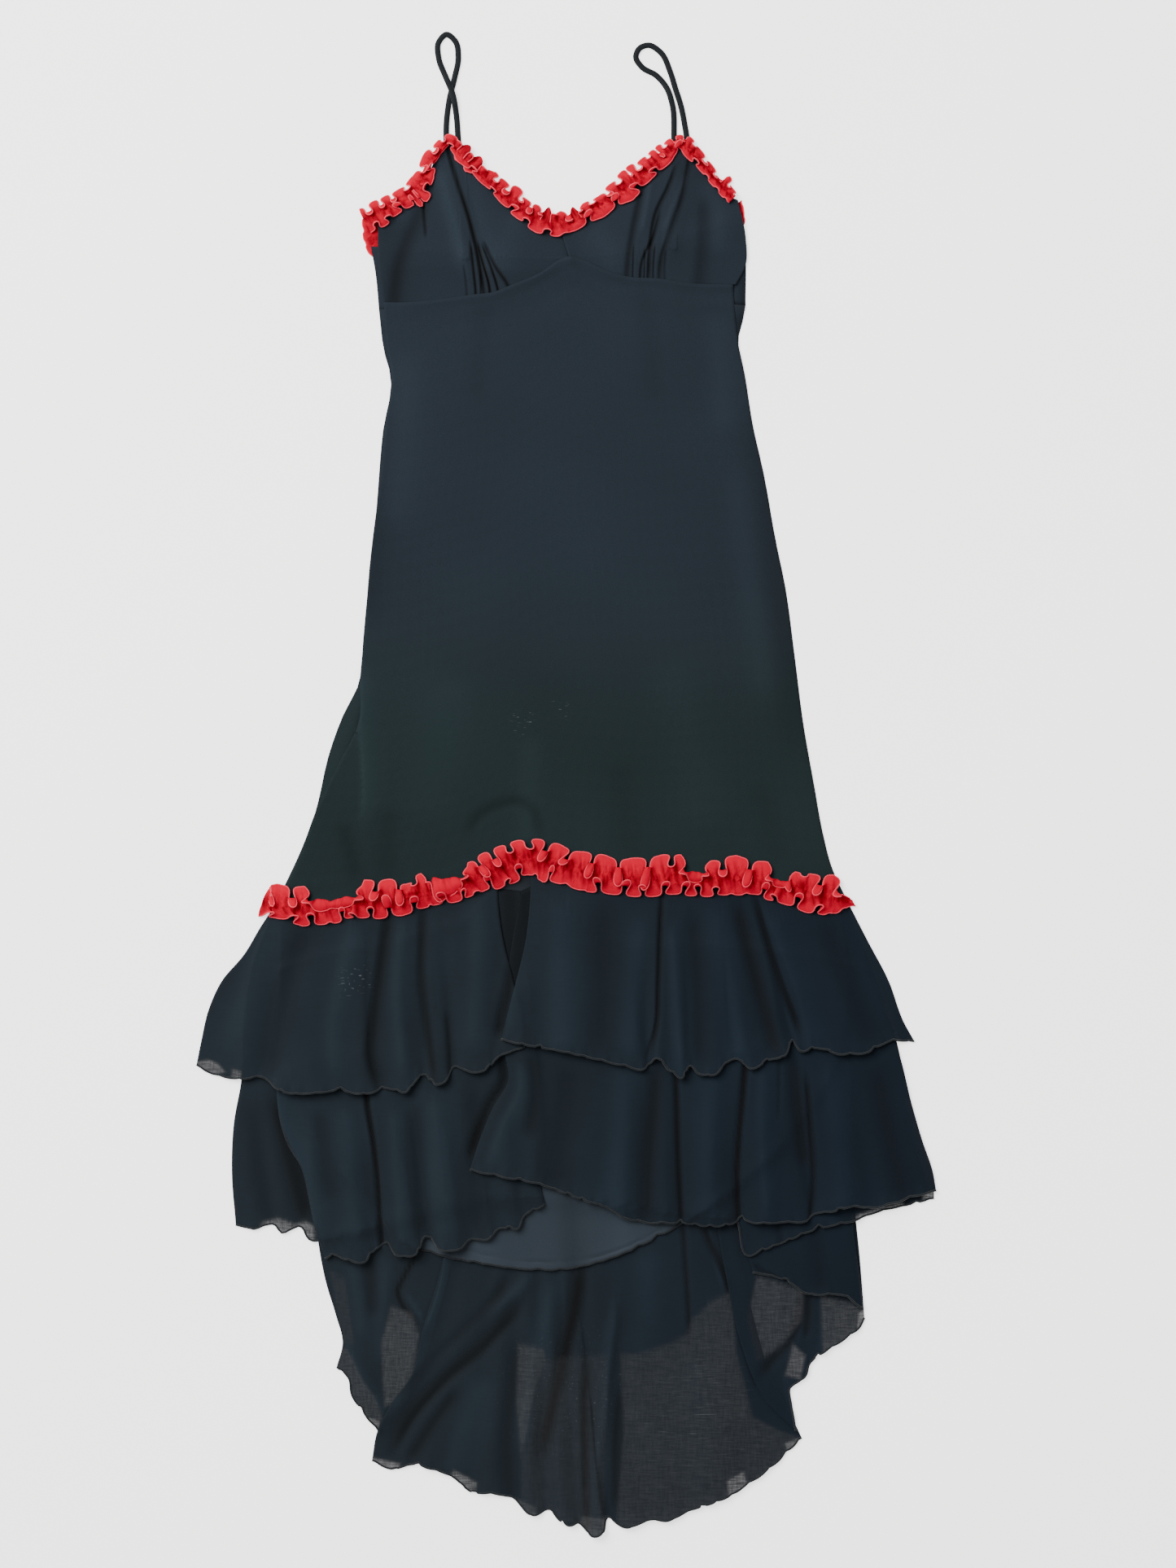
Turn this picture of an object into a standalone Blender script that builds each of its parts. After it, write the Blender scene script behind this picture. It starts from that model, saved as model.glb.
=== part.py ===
"""A high-low slip dress in black chiffon, laid flat on its back with the straps towards +Y.

Every piece is a thin closed wall of cloth. The pieces are laid down one after another, from the floor up,
and each one rests on those below it. The tables hold millimetres: across is to the right of the middle of
the dress as it lies, down is from the top of the straps towards the train.
"""
import bpy
import numpy as np

# Driving sizes, in millimetres
WALL = 1.2
GAP = 0.3
LAP = 4.0
RUFFLE_DIP = 0.45
RUFFLE_END = 16.0
RUFFLE_WAVE = 6.0
RUFFLE_FULL_REACH = 11.0
RUFFLE_BAND = 1.5
RUFFLE_ROOM = 0.7
RUFFLE_STEP = 4.5
HIDDEN_STEP = 7.0
OUTER_LOBE = 23.0
INNER_LOBE = 18.0
STRAP_WIDTH = 6.0
STRAP_THICKNESS = 2.4
STRAP_STEP = 9.0
CUP_DOME = 5.0
STEEPEST = 1.6
SHARP_ANGLE = 50
CELL = 1.5
MAP_LOW = (-420.0, -40.0)
MAP_SIZE = (860.0, 1640.0)
LOBE_SWAYS = ((31.0, 0.22, 1), (13.0, 0.15, 2))

# The seams that go right across: across, down
EMPIRE_SEAM = ((-185, 276), (-161, 276), (-128, 273), (-91, 268), (-74, 266), (-56, 259), (-29, 248),
               (5, 230), (21, 234), (42, 244), (63, 250), (96, 252), (121, 256), (171, 258))
HIP_SEAM = ((-296, 891), (-261, 892), (-203, 886), (-161, 882), (-128, 876), (-95, 864), (-62, 849),
            (-33, 843), (5, 853), (54, 862), (112, 863), (171, 863), (212, 868), (254, 878), (287, 885))
LOWER_SEAM = ((-312, 955), (-178, 955), (-103, 922), (-68, 879), (-33, 874), (5, 914), (63, 955),
              (316, 955))
TRAIN_SEAM = ((-258, 1047), (-112, 1038), (21, 1034), (171, 1038), (295, 1047))

# The sides of the body: across, down
FRONT_LEFT = ((-185, 276), (-183, 316), (-177, 352), (-183, 399), (-190, 466), (-199, 540), (-205, 615),
              (-209, 659), (-210, 702), (-230, 744), (-250, 784), (-268, 831), (-296, 891))
FRONT_RIGHT = ((171, 258), (173, 287), (176, 315), (183, 349), (191, 399), (203, 453), (214, 515),
               (225, 569), (234, 636), (243, 706), (254, 769), (263, 818), (272, 852), (287, 885))
BACK_LEFT = ((-190, 283), (-185, 325), (-178, 352), (-186, 408), (-193, 491), (-201, 565), (-207, 632),
             (-209, 659), (-228, 700), (-242, 740), (-252, 785), (-266, 831), (-284, 874))
BACK_RIGHT = ((184, 279), (180, 300), (176, 315), (181, 345), (189, 395), (200, 445), (211, 499),
              (222, 559), (231, 632), (240, 698), (251, 760), (260, 814), (268, 849), (281, 880))
BODICE_LEFT = ((-198, 219), (-193, 250), (-190, 283))
BODICE_RIGHT = ((177, 185), (183, 217), (184, 279))
BACK_NECKLINE = ((-198, 219), (-112, 227), (-4, 232), (104, 217), (177, 185))

# The folds of a cup: neckline across, neckline down, empire seam across, ridge height at the seam
CUP_LEFT = ((-192, 203, -185, 0), (-180, 195, -170, 0), (-166, 185, -155, 1), (-155, 174, -140, 0),
            (-144, 163, -124, 1), (-136, 149, -112, 0), (-128, 134, -102, 1), (-122, 124, -94, 0),
            (-117, 115, -89, 3), (-112, 120, -85, 0), (-107, 126, -81, 3), (-102, 134, -77, 0),
            (-96, 140, -73, 3), (-89, 148, -68, 0), (-82, 156, -64, 3), (-73, 164, -60, 0),
            (-64, 173, -55, 2), (-52, 182, -45, 0), (-39, 192, -33, 1), (-22, 200, -16, 1),
            (-2, 206, 5, 0))
CUP_RIGHT = ((-4, 205, 5, 0), (11, 198, 18, 1), (26, 189, 32, 0), (41, 180, 44, 1), (54, 171, 54, 0),
             (65, 163, 62, 0), (73, 156, 66, 3), (79, 150, 69, 0), (86, 144, 72, 3), (93, 139, 75, 0),
             (98, 134, 78, 3), (104, 129, 80, 0), (110, 125, 83, 3), (115, 120, 86, 0), (119, 117, 90, 2),
             (123, 122, 94, 0), (128, 129, 100, 1), (134, 138, 111, 0), (142, 148, 125, 1),
             (151, 159, 141, 0), (161, 169, 156, 1), (174, 177, 171, 0))
CUP_LEFT_SIDE = ((-192, 203), (-190, 242), (-185, 276))
CUP_RIGHT_SIDE = ((174, 177), (179, 208), (179, 235), (171, 258))

# The soft folds of the skirt: top across, top down, lower across, lower down, ridge height, half width
SKIRT_FOLDS = ((-33, 700, -37, 823, 4, 13), (-208, 657, -206, 800, 3, 12), (-130, 760, -170, 860, 3, 16),
               (90, 600, 110, 840, 3, 22), (185, 640, 215, 840, 3, 20), (-120, 420, -150, 640, 2, 25))

# The folds of a flounce: seam across, hem across, hem down, sideways bow half way, ridge height at the hem
UPPER_LEFT = ((-296, -376, 1053, 0, 0), (-284, -359, 1062, 0, 1), (-271, -329, 1067, 0, 4),
              (-257, -309, 1065, 0, 2), (-244, -288, 1079, 0, 5), (-229, -257, 1081, 0, 6),
              (-218, -229, 1078, 0, 4), (-206, -205, 1082, 0, 5), (-193, -182, 1076, -8, 0),
              (-180, -161, 1079, 0, 6), (-168, -151, 1067, 0, 3), (-157, -142, 1062, 0, 0),
              (-146, -133, 1072, 0, 5), (-135, -122, 1069, 0, 4), (-124, -113, 1054, 0, 0),
              (-113, -95, 1060, 0, 4), (-102, -80, 1057, 0, 4), (-87, -69, 1045, 0, 2),
              (-68, -41, 1034, -2, 0))
UPPER_RIGHT = ((-35, -65, 1026, 4, 0), (-25, -45, 1031, 3, 3), (-14, -22, 1035, 2, 4), (0, 5, 1040, 0, 6),
               (15, 34, 1047, 0, 4), (29, 59, 1053, 0, 3), (48, 78, 1057, 0, 3), (71, 86, 1052, 0, 0),
               (94, 94, 1045, 0, 6), (106, 108, 1059, 0, 5), (114, 119, 1065, 0, 6),
               (122, 126, 1053, 0, 3), (131, 136, 1061, 0, 3), (142, 152, 1062, 0, 4),
               (152, 164, 1050, 0, 2), (162, 175, 1046, -5, 0), (172, 189, 1056, -5, 3),
               (182, 208, 1047, -3, 2), (192, 223, 1043, -3, 6), (199, 231, 1027, -3, 1),
               (209, 239, 1038, 0, 3), (219, 256, 1035, 0, 2), (230, 278, 1041, 0, 4),
               (245, 308, 1039, 0, 5), (260, 328, 1029, 0, 2), (287, 356, 1029, 0, 0))
LOWER_LEFT = ((-290, -245, 1250, 0, 1), (-276, -234, 1246, 0, 4), (-263, -218, 1252, 0, 7),
              (-249, -203, 1252, 0, 6), (-238, -192, 1239, 0, 2), (-228, -182, 1234, 0, 0),
              (-216, -171, 1246, 0, 6), (-201, -151, 1244, 0, 7), (-190, -144, 1229, 0, 3),
              (-180, -137, 1228, 0, 1), (-168, -127, 1240, 0, 6), (-153, -107, 1239, 0, 6),
              (-140, -96, 1230, 0, 2), (-127, -78, 1230, 0, 4), (-113, -68, 1219, 0, 2),
              (-98, -49, 1219, 0, 4), (-83, -40, 1204, 0, 1), (-68, -27, 1198, 0, 2),
              (-45, -21, 1194, 0, 0))
LOWER_RIGHT = ((-45, -97, 1159, 0, 1), (-27, -63, 1166, 0, 3), (-9, -27, 1173, 0, 4), (8, -2, 1182, 0, 4),
               (24, 23, 1191, 0, 4), (41, 43, 1197, 0, 3), (56, 59, 1207, 0, 4), (71, 81, 1213, 0, 0),
               (88, 103, 1213, 0, 4), (101, 119, 1213, 0, 1), (117, 144, 1216, 0, 5),
               (134, 165, 1215, 0, 4), (149, 180, 1210, 7, 0), (162, 195, 1213, 5, 6),
               (179, 219, 1212, 0, 5), (195, 245, 1211, 0, 3), (210, 254, 1204, 0, 0),
               (225, 272, 1201, 0, 5), (240, 292, 1196, 0, 5), (257, 313, 1198, 0, 3),
               (273, 337, 1192, 0, 5), (290, 360, 1185, 0, 3), (305, 378, 1181, 0, 0))
BACK_FLOUNCE = ((-294, -336, 1216, 0, 0), (-284, -317, 1220, 0, 2), (-274, -298, 1215, 0, 1),
                (-264, -288, 1224, 0, 2), (-253, -271, 1217, 0, 1), (-241, -261, 1230, 0, 2),
                (-220, -224, 1225, 0, 0), (-178, -170, 1211, 0, 0), (-112, -103, 1194, 0, 0),
                (-45, -37, 1188, 0, 0), (21, 38, 1194, 0, 0), (88, 104, 1202, 0, 0),
                (129, 152, 1207, 0, 0), (147, 173, 1210, 0, 0), (161, 185, 1247, 0, 0),
                (175, 204, 1240, 0, 1), (191, 222, 1233, 0, 1), (212, 254, 1220, 0, 1),
                (237, 295, 1211, 0, 1), (254, 320, 1202, 0, 2), (269, 347, 1196, 0, 1),
                (283, 376, 1189, 0, 0))
LINING_SKIRT = ((-290, -224, 1163, 0, 0), (-244, -196, 1196, 0, 0), (-203, -161, 1233, 0, 0),
                (-161, -124, 1247, 0, 0), (-112, -78, 1256, 0, 1), (-62, -37, 1261, 0, 1),
                (-12, 5, 1260, 0, 1), (38, 50, 1248, 0, 1), (88, 92, 1229, 0, 0), (137, 129, 1208, 0, 0),
                (212, 175, 1175, 0, 0), (278, 220, 1134, 0, 0))
TRAIN_CENTRE = ((-145, -197, 1456, 0, 0), (-138, -173, 1465, 0, 1), (-132, -160, 1460, 0, 2),
                (-123, -137, 1464, 0, 4), (-115, -115, 1472, 0, 3), (-107, -95, 1488, 0, 2),
                (-95, -75, 1489, 0, 5), (-82, -52, 1495, 0, 2), (-70, -33, 1512, 0, 5),
                (-60, -18, 1506, 0, 0), (-50, 1, 1521, 0, 6), (-42, 16, 1521, 0, 2),
                (-34, 27, 1532, 0, 7), (-27, 38, 1530, 0, 6), (-20, 42, 1516, 0, 0), (-9, 63, 1524, 0, 6),
                (5, 86, 1516, 0, 4), (18, 104, 1517, 0, 5), (33, 126, 1507, 0, 3), (48, 147, 1500, 0, 5),
                (63, 167, 1492, 0, 4), (78, 184, 1481, 0, 3), (93, 208, 1464, 0, 3),
                (107, 225, 1448, 0, 1), (129, 241, 1433, 0, 0))
TRAIN_LEFT = ((-257, -233, 1361, 0, 0), (-240, -221, 1371, 0, 1), (-218, -218, 1387, 0, 2),
              (-196, -209, 1402, 0, 3), (-175, -200, 1414, 0, 1), (-153, -190, 1426, 0, 0))
TRAIN_RIGHT = ((146, 235, 1426, 0, 0), (160, 231, 1402, 0, 0), (174, 229, 1383, 0, 1),
               (191, 244, 1371, 0, 3), (212, 250, 1356, 0, 2), (233, 264, 1345, 0, 3),
               (254, 283, 1333, 0, 3), (273, 299, 1321, 0, 2), (295, 305, 1311, 0, 0))
TRAIN_TURN = ((175, 191, 1264, 0, 0), (195, 225, 1272, 0, 2), (216, 245, 1285, 0, 3),
              (241, 283, 1287, 0, 3), (266, 301, 1299, 0, 2), (290, 303, 1296, 0, 0))

# The two free edges of each flounce, from its seam to its hem: across, down
UPPER_LEFT_EDGES = (((-296, 891), (-309, 910), (-327, 940), (-351, 969), (-364, 998), (-371, 1028),
                     (-376, 1053)),
                    ((-68, 852), (-67, 885), (-62, 922), (-52, 961), (-45, 997), (-41, 1034)))
UPPER_RIGHT_EDGES = (((-35, 844), (-39, 889), (-45, 930), (-52, 961), (-60, 997), (-65, 1026)),
                     ((287, 885), (308, 926), (330, 968), (345, 1009), (356, 1029)))
LOWER_LEFT_EDGES = (((-290, 955), (-294, 1076), (-290, 1113), (-283, 1135), (-268, 1159), (-262, 1184),
                     (-256, 1213), (-245, 1250)),
                    ((-45, 876), (-35, 1005), (-24, 1113), (-25, 1175), (-21, 1194)))
LOWER_RIGHT_EDGES = (((-45, 876), (-59, 964), (-62, 1038), (-58, 1068), (-73, 1095), (-85, 1123),
                      (-97, 1159)),
                     ((305, 955), (328, 1005), (342, 1047), (353, 1092), (364, 1130), (375, 1163),
                      (378, 1181)))
BACK_FLOUNCE_EDGES = (((-294, 891), (-317, 947), (-328, 1013), (-330, 1067), (-338, 1113), (-340, 1163),
                       (-336, 1216)),
                      ((283, 884), (313, 955), (335, 1018), (352, 1092), (367, 1142), (376, 1171),
                       (376, 1189)))
LINING_EDGES = (((-290, 891), (-286, 1005), (-261, 1113), (-224, 1163)),
                ((278, 884), (287, 964), (270, 1063), (220, 1134)))
TRAIN_CENTRE_EDGES = (((-145, 1040), (-122, 1196), (-124, 1246), (-145, 1321), (-157, 1370), (-178, 1399),
                       (-192, 1428), (-197, 1456)),
                      ((129, 1037), (166, 1213), (181, 1267), (197, 1329), (212, 1379), (233, 1416),
                       (241, 1433)))
TRAIN_LEFT_EDGES = (((-257, 1047), (-256, 1196), (-252, 1233), (-244, 1275), (-234, 1308), (-227, 1337),
                     (-233, 1361)),
                    ((-153, 1041), (-112, 1213), (-132, 1312), (-161, 1391), (-190, 1426)))
TRAIN_RIGHT_EDGES = (((146, 1037), (154, 1213), (166, 1279), (179, 1337), (204, 1395), (235, 1426)),
                     ((295, 1047), (295, 1196), (300, 1246), (304, 1296), (305, 1311)))
TRAIN_TURN_EDGES = (((175, 1038), (175, 1163), (181, 1213), (186, 1246), (191, 1264)),
                    ((290, 1047), (292, 1196), (297, 1246), (302, 1279), (303, 1296)))

# The middle lines of the ruffles: across, down, reach of the upper edge, reach of the lower edge
NECK_RUFFLE = ((-201, 192, 12, 11), (-175, 177, 12, 11), (-147, 157, 11, 11), (-138, 139, 11, 10),
               (-129, 125, 10, 10), (-118, 115, 12, 11), (-107, 124, 11, 11), (-94, 138, 11, 12),
               (-78, 154, 11, 12), (-62, 169, 11, 12), (-41, 183, 12, 13), (-24, 191, 12, 13),
               (-8, 195, 13, 13), (9, 192, 13, 13), (29, 181, 12, 13), (50, 168, 11, 13),
               (71, 154, 11, 12), (88, 140, 11, 12), (104, 127, 11, 12), (118, 115, 12, 11),
               (130, 125, 9, 10), (143, 138, 8, 9), (155, 152, 8, 8), (170, 168, 8, 8))
NECK_RUFFLE_BACK = ((-202, 214, 11, 11), (-161, 222, 11, 11), (-112, 227, 11, 11), (-4, 232, 11, 11),
                    (104, 217, 11, 11), (154, 200, 11, 11), (176, 184, 11, 11))
HIP_RUFFLE = ((-305, 891, 17, 15), (-261, 892, 19, 18), (-203, 886, 22, 18), (-161, 882, 23, 18),
              (-128, 876, 22, 17), (-95, 864, 22, 16), (-62, 849, 20, 16), (-33, 843, 21, 16),
              (5, 853, 22, 18), (54, 862, 21, 18), (112, 863, 23, 17), (171, 863, 23, 16),
              (212, 868, 22, 17), (254, 878, 20, 17), (290, 885, 17, 15))
HIP_RUFFLE_BACK = ((-283, 891, 11, 11), (-203, 886, 11, 11), (-128, 876, 11, 11), (-62, 849, 11, 11),
                   (-33, 843, 11, 11), (54, 862, 11, 11), (171, 863, 11, 11), (212, 868, 11, 11),
                   (278, 883, 11, 11))

# The middle lines of the straps, from the cup round the loop to the back neckline: across, down
STRAP_LEFT_LINE = ((-121, 121), (-121, 92), (-118, 69), (-113, 48), (-109, 26), (-112, 10), (-121, 3),
                   (-129, 11), (-129, 27), (-122, 46), (-115, 63), (-111, 85), (-109, 111), (-105, 146),
                   (-101, 232))
STRAP_RIGHT_LINE = ((126, 122), (122, 96), (118, 76), (112, 57), (107, 41), (97, 21), (85, 14), (76, 17),
                    (72, 26), (78, 36), (93, 45), (103, 57), (109, 74), (111, 109), (111, 146),
                    (109, 222))

# How far along each strap it turns back on itself
STRAP_LEFT_TURN = 123
STRAP_RIGHT_TURN = 120

# Where the rows of points lie between the seam and the hem of each sort of flounce
TIER_LEVELS = (0, 0.16, 0.32, 0.46, 0.6, 0.74, 0.87, 1)
BACK_LEVELS = (0, 0.14, 0.28, 0.42, 0.56, 0.7, 0.85, 1)
TRAIN_LEVELS = (0, 0.3, 0.42, 0.5, 0.58, 0.66, 0.73, 0.8, 0.87, 0.94, 1)
TURNED_LEVELS = (0, 0.35, 0.5, 0.62, 0.74, 0.86, 1)
CUP_LEVELS = (0, 0.12, 0.28, 0.46, 0.64, 0.82, 1)

# Colours as red, green and blue from the photograph, then roughness
CREPE = (0.025, 0.032, 0.045, 0.75)
CHIFFON = (0.015, 0.022, 0.03, 0.6)
LINING_CLOTH = (0.04, 0.055, 0.07, 0.7)
RED_CLOTH = (0.58, 0.01, 0.02, 0.6)


def smooth(line, fractions):
    """Points at the given fractions of the length of a smooth curve through the listed points."""
    points = np.array(line, float)
    lengths = np.concatenate([[0], np.cumsum(np.linalg.norm(np.diff(points, axis=0), axis=1))])
    slopes = np.gradient(points, lengths, axis=0)
    at = np.clip(np.asarray(fractions, float), 0, 1) * lengths[-1]
    index = np.clip(np.searchsorted(lengths, at, side="right") - 1, 0, len(points) - 2)
    step = (lengths[index + 1] - lengths[index])[:, None]
    t = (at - lengths[index])[:, None] / step
    ends = points[index] * (1 + 2 * t) * (1 - t) ** 2 + points[index + 1] * t ** 2 * (3 - 2 * t)
    return ends + step * (slopes[index] * t * (1 - t) ** 2 - slopes[index + 1] * t ** 2 * (1 - t))


def on_line(line, across):
    """Points of a seam at the given places across, by straight runs between its listed points."""
    points = np.array(line, float)
    return np.stack([across, np.interp(across, points[:, 0], points[:, 1])], axis=-1)


def patch(top, bottom, left, right, levels, bow=0.0, fade=1.0):
    """A sheet between four edges: straight lines from top to bottom, bent to follow the two side edges."""
    v = np.asarray(levels, float)[:, None, None]
    straight = (1 - v) * top + v * bottom
    along = np.linspace(0, 1, len(top))[None, :, None]
    side_left = (smooth(left, levels)[:, None] - straight[:, :1]) * (1 - along) ** fade
    side_right = (smooth(right, levels)[:, None] - straight[:, -1:]) * along ** fade
    grid = straight + side_left + side_right
    grid[..., 0] += 4 * v[..., 0] * (1 - v[..., 0]) * bow
    return grid


def triangles_of(rows, columns):
    """The two triangles of each cell of a grid, wound to face up when rows go down and columns go right."""
    index = np.arange(rows * columns).reshape(rows, columns)
    a, b = index[:-1, :-1].ravel(), index[:-1, 1:].ravel()
    c, d = index[1:, 1:].ravel(), index[1:, :-1].ravel()
    return np.concatenate([np.stack([a, d, c], 1), np.stack([a, c, b], 1)])


def rim_of(rows, columns):
    """The numbers of a grid's outer points, once round."""
    index = np.arange(rows * columns).reshape(rows, columns)
    return np.concatenate([index[0, :-1], index[:-1, -1], index[-1, :0:-1], index[:0:-1, 0]])


class Pile:
    """How high the cloth lies so far, as a map of small cells from above. Bare floor counts as -GAP."""

    def __init__(self):
        self.origin = np.array(MAP_LOW)
        self.heights = np.full((int(MAP_SIZE[1] / CELL), int(MAP_SIZE[0] / CELL)), -GAP)

    def spread(self, corners):
        """Evenly spaced points of each triangle, and the cells that they fall in."""
        edges = np.linalg.norm(corners[:, :, :2] - np.roll(corners[:, :, :2], 1, axis=1), axis=-1)
        count = int(np.ceil(edges.max() / CELL * 1.3)) + 2
        s, t = np.meshgrid(np.linspace(0, 1, count), np.linspace(0, 1, count))
        keep = s + t <= 1 + 1e-9
        s, t = s[keep][None, :, None], t[keep][None, :, None]
        a, b, c = (corners[:, i][:, None] for i in range(3))
        points = a + s * (b - a) + t * (c - a)
        cells = ((points[..., :2] - self.origin) / CELL).astype(int)
        return points, cells[..., 1], cells[..., 0]

    def under(self, points, triangles):
        """The greatest height below any triangle that a point belongs to."""
        rows, columns = self.spread(points[triangles])[1:]
        highest = self.heights[rows, columns].max(axis=1)
        result = np.full(len(points), -GAP)
        for corner in range(3):
            np.maximum.at(result, triangles[:, corner], highest)
        return result

    def add(self, points, triangles):
        """Raises the map to the given triangles, and one cell past them."""
        spots, rows, columns = self.spread(points[triangles])
        new = np.full_like(self.heights, -GAP)
        np.maximum.at(new, (rows.ravel(), columns.ravel()), spots[..., 2].ravel())
        grown = np.maximum.reduce([np.roll(new, (i, j), (0, 1)) for i in (-1, 0, 1) for j in (-1, 0, 1)])
        self.heights = np.maximum(self.heights, grown)


pile = Pile()
pieces = []


def soften(heights, times=2):
    """Eases a grid's steps by raising points towards the mean of their neighbours, and never lowers one."""
    for _ in range(times):
        padded = np.pad(heights, 1, mode="edge")
        mean = (padded[:-2, 1:-1] + padded[2:, 1:-1] + padded[1:-1, :-2] + padded[1:-1, 2:]) / 4
        heights = np.maximum(heights, mean)
    return heights


def steepness(points, triangles):
    """How much taller than its thickness a wall stands at each point, which is more on a slope."""
    corners = points[triangles]
    facing = np.cross(corners[:, 1] - corners[:, 0], corners[:, 2] - corners[:, 0])
    stretch = np.linalg.norm(facing, axis=1) / np.maximum(np.abs(facing[:, 2]), 1e-6)
    total = np.zeros(len(points))
    number = np.zeros(len(points))
    for corner in range(3):
        np.add.at(total, triangles[:, corner], stretch)
        np.add.at(number, triangles[:, corner], 1)
    return np.clip(total / number, 1, STEEPEST)


def lay(name, grid, lift, finish, on_floor=False):
    """Lays a sheet on the pile as a closed wall, with its folds raised by lift, and keeps it as a piece."""
    rows, columns = grid.shape[:2]
    flat = grid.reshape(-1, 2)
    triangles = triangles_of(rows, columns)
    base = pile.under(flat, triangles).reshape(rows, columns) + GAP
    if not on_floor:
        base = soften(base)
    below = np.column_stack([flat, (base + lift).ravel()])
    above = below.copy()
    above[:, 2] += WALL * steepness(below, triangles)
    rim = rim_of(rows, columns)
    after = np.roll(rim, -1)
    count = len(flat)
    outer_side = np.stack([rim, after, after + count], 1)
    inner_side = np.stack([rim, after + count, rim + count], 1)
    faces = np.concatenate([triangles, triangles[:, ::-1] + count, outer_side, inner_side])
    pile.add(above, triangles)
    pieces.append((name, np.concatenate([above, below]), faces, finish))


def flounce(name, rows, seam, edges, levels, fold_start, finish, on_floor=False):
    """A flounce: one column of its grid for each fold, which rises from fold_start towards the hem."""
    table = np.array(rows, float)
    top = on_line(seam, table[:, 0])
    top[:, 1] -= LAP
    grid = patch(top, table[:, 1:3], edges[0], edges[1], levels, table[:, 3], fade=3.0)
    rise = np.clip((np.asarray(levels) - fold_start) / (1 - fold_start), 0, 1) ** 1.2
    lay(name, grid, rise[:, None] * table[:, 4], finish, on_floor)


def fold_heights(grid, folds):
    """Rounded ridges along the listed fold lines, fading out at their ends."""
    heights = np.zeros(grid.shape[:2])
    for x0, y0, x1, y1, height, half_width in folds:
        run = np.array([x1 - x0, y1 - y0], float)
        along = ((grid - (x0, y0)) @ run) / (run @ run)
        aside = (grid - (x0, y0)) @ np.array([-run[1], run[0]]) / np.linalg.norm(run)
        ends = np.clip(np.minimum(along, 1 - along) * 4 + 0.5, 0, 1)
        heights += height * ends * np.exp(-(aside / half_width) ** 2)
    return heights


def body_panel(name, top_seam, bottom_seam, left, right, columns, rows, folds, top_lap, finish):
    """A panel of the bodice or skirt between two seams, reaching over the piece above it by top_lap."""
    along = np.linspace(0, 1, columns)
    top = smooth(top_seam, along) - (0, top_lap)
    bottom = smooth(bottom_seam, along)
    grid = patch(top, bottom, left, right, np.linspace(0, 1, rows))
    lay(name, grid, fold_heights(grid, folds), finish)


def cup(name, rows, left, right):
    """A bust cup: a low dome whose gathers rise towards the empire seam, where it goes under the skirt."""
    table = np.array(rows, float)
    bottom = on_line(EMPIRE_SEAM, table[:, 2])
    bottom[:, 1] += LAP
    levels = np.array(CUP_LEVELS)
    grid = patch(table[:, :2], bottom, left, right, levels, fade=2.0)
    across = np.linspace(0, 1, len(table))
    dome = CUP_DOME * np.sin(np.pi * levels)[:, None] * np.sin(np.pi * across) ** 0.7
    gathers = levels[:, None] ** 2.5 * table[:, 3]
    lay(name, grid, dome + gathers, CREPE)


def lobes(distance, pitch, shift):
    """The waves of a gathered edge: 1 at the middle of each lobe and 0 between lobes, unevenly spaced."""
    turns = distance / pitch + shift
    for run, amount, times in LOBE_SWAYS:
        turns = turns + amount * np.sin(distance / run + times * shift)
    return 0.5 - 0.5 * np.cos(2 * np.pi * turns)


def ruffle(name, rows, finish, wave=RUFFLE_WAVE, step=RUFFLE_STEP, on_floor=False):
    """A strip stitched down by a narrow band, from which its two edges wave up and out to their reach."""
    table = np.array(rows, float)
    along_rows = np.concatenate([[0], np.cumsum(np.linalg.norm(np.diff(table[:, :2], axis=0), axis=1))])
    length = along_rows[-1]
    count = int(length / step) + 1
    middle = smooth(table[:, :2], np.linspace(0, 1, count))
    for _ in range(3):
        middle[1:-1] = (middle[:-2] + 2 * middle[1:-1] + middle[2:]) / 4
    heading = np.gradient(middle, axis=0)
    pace = np.linalg.norm(heading, axis=1)
    heading /= pace[:, None]
    outward = np.stack([heading[:, 1], -heading[:, 0]], 1)
    bend = (np.gradient(heading, axis=0) * outward).sum(1) / pace
    distance = np.linspace(0, length, count)
    taper = np.clip(np.minimum(distance, length - distance) / RUFFLE_END, 0.4, 1)
    outer = lobes(distance, OUTER_LOBE, 0.1)
    inner = lobes(distance, INNER_LOBE, 0.6)
    room_outside = RUFFLE_ROOM / np.maximum(bend, 1e-6)
    room_inside = RUFFLE_ROOM / np.maximum(-bend, 1e-6)
    reach_out = taper * (1 - RUFFLE_DIP * (1 - outer)) * np.interp(distance, along_rows, table[:, 2])
    reach_in = taper * (1 - RUFFLE_DIP * (1 - inner)) * np.interp(distance, along_rows, table[:, 3])
    reach_out = np.minimum(reach_out, room_outside)
    reach_in = np.minimum(reach_in, room_inside)
    band_out = np.minimum(RUFFLE_BAND, reach_out / 2)
    band_in = np.minimum(RUFFLE_BAND, reach_in / 2)
    away = np.stack([reach_out, band_out, -band_in, -reach_in])
    grid = middle + outward * away[..., None]
    upper_wave = (1 + wave * outer) * np.clip(reach_out / RUFFLE_FULL_REACH, 0, 1)
    lower_wave = (1 + wave * inner) * np.clip(reach_in / RUFFLE_FULL_REACH, 0, 1)
    level = np.zeros(count)
    lift = np.stack([upper_wave, level, level, lower_wave]) * (wave > 0)
    lay(name, grid, lift, finish, on_floor)


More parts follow.
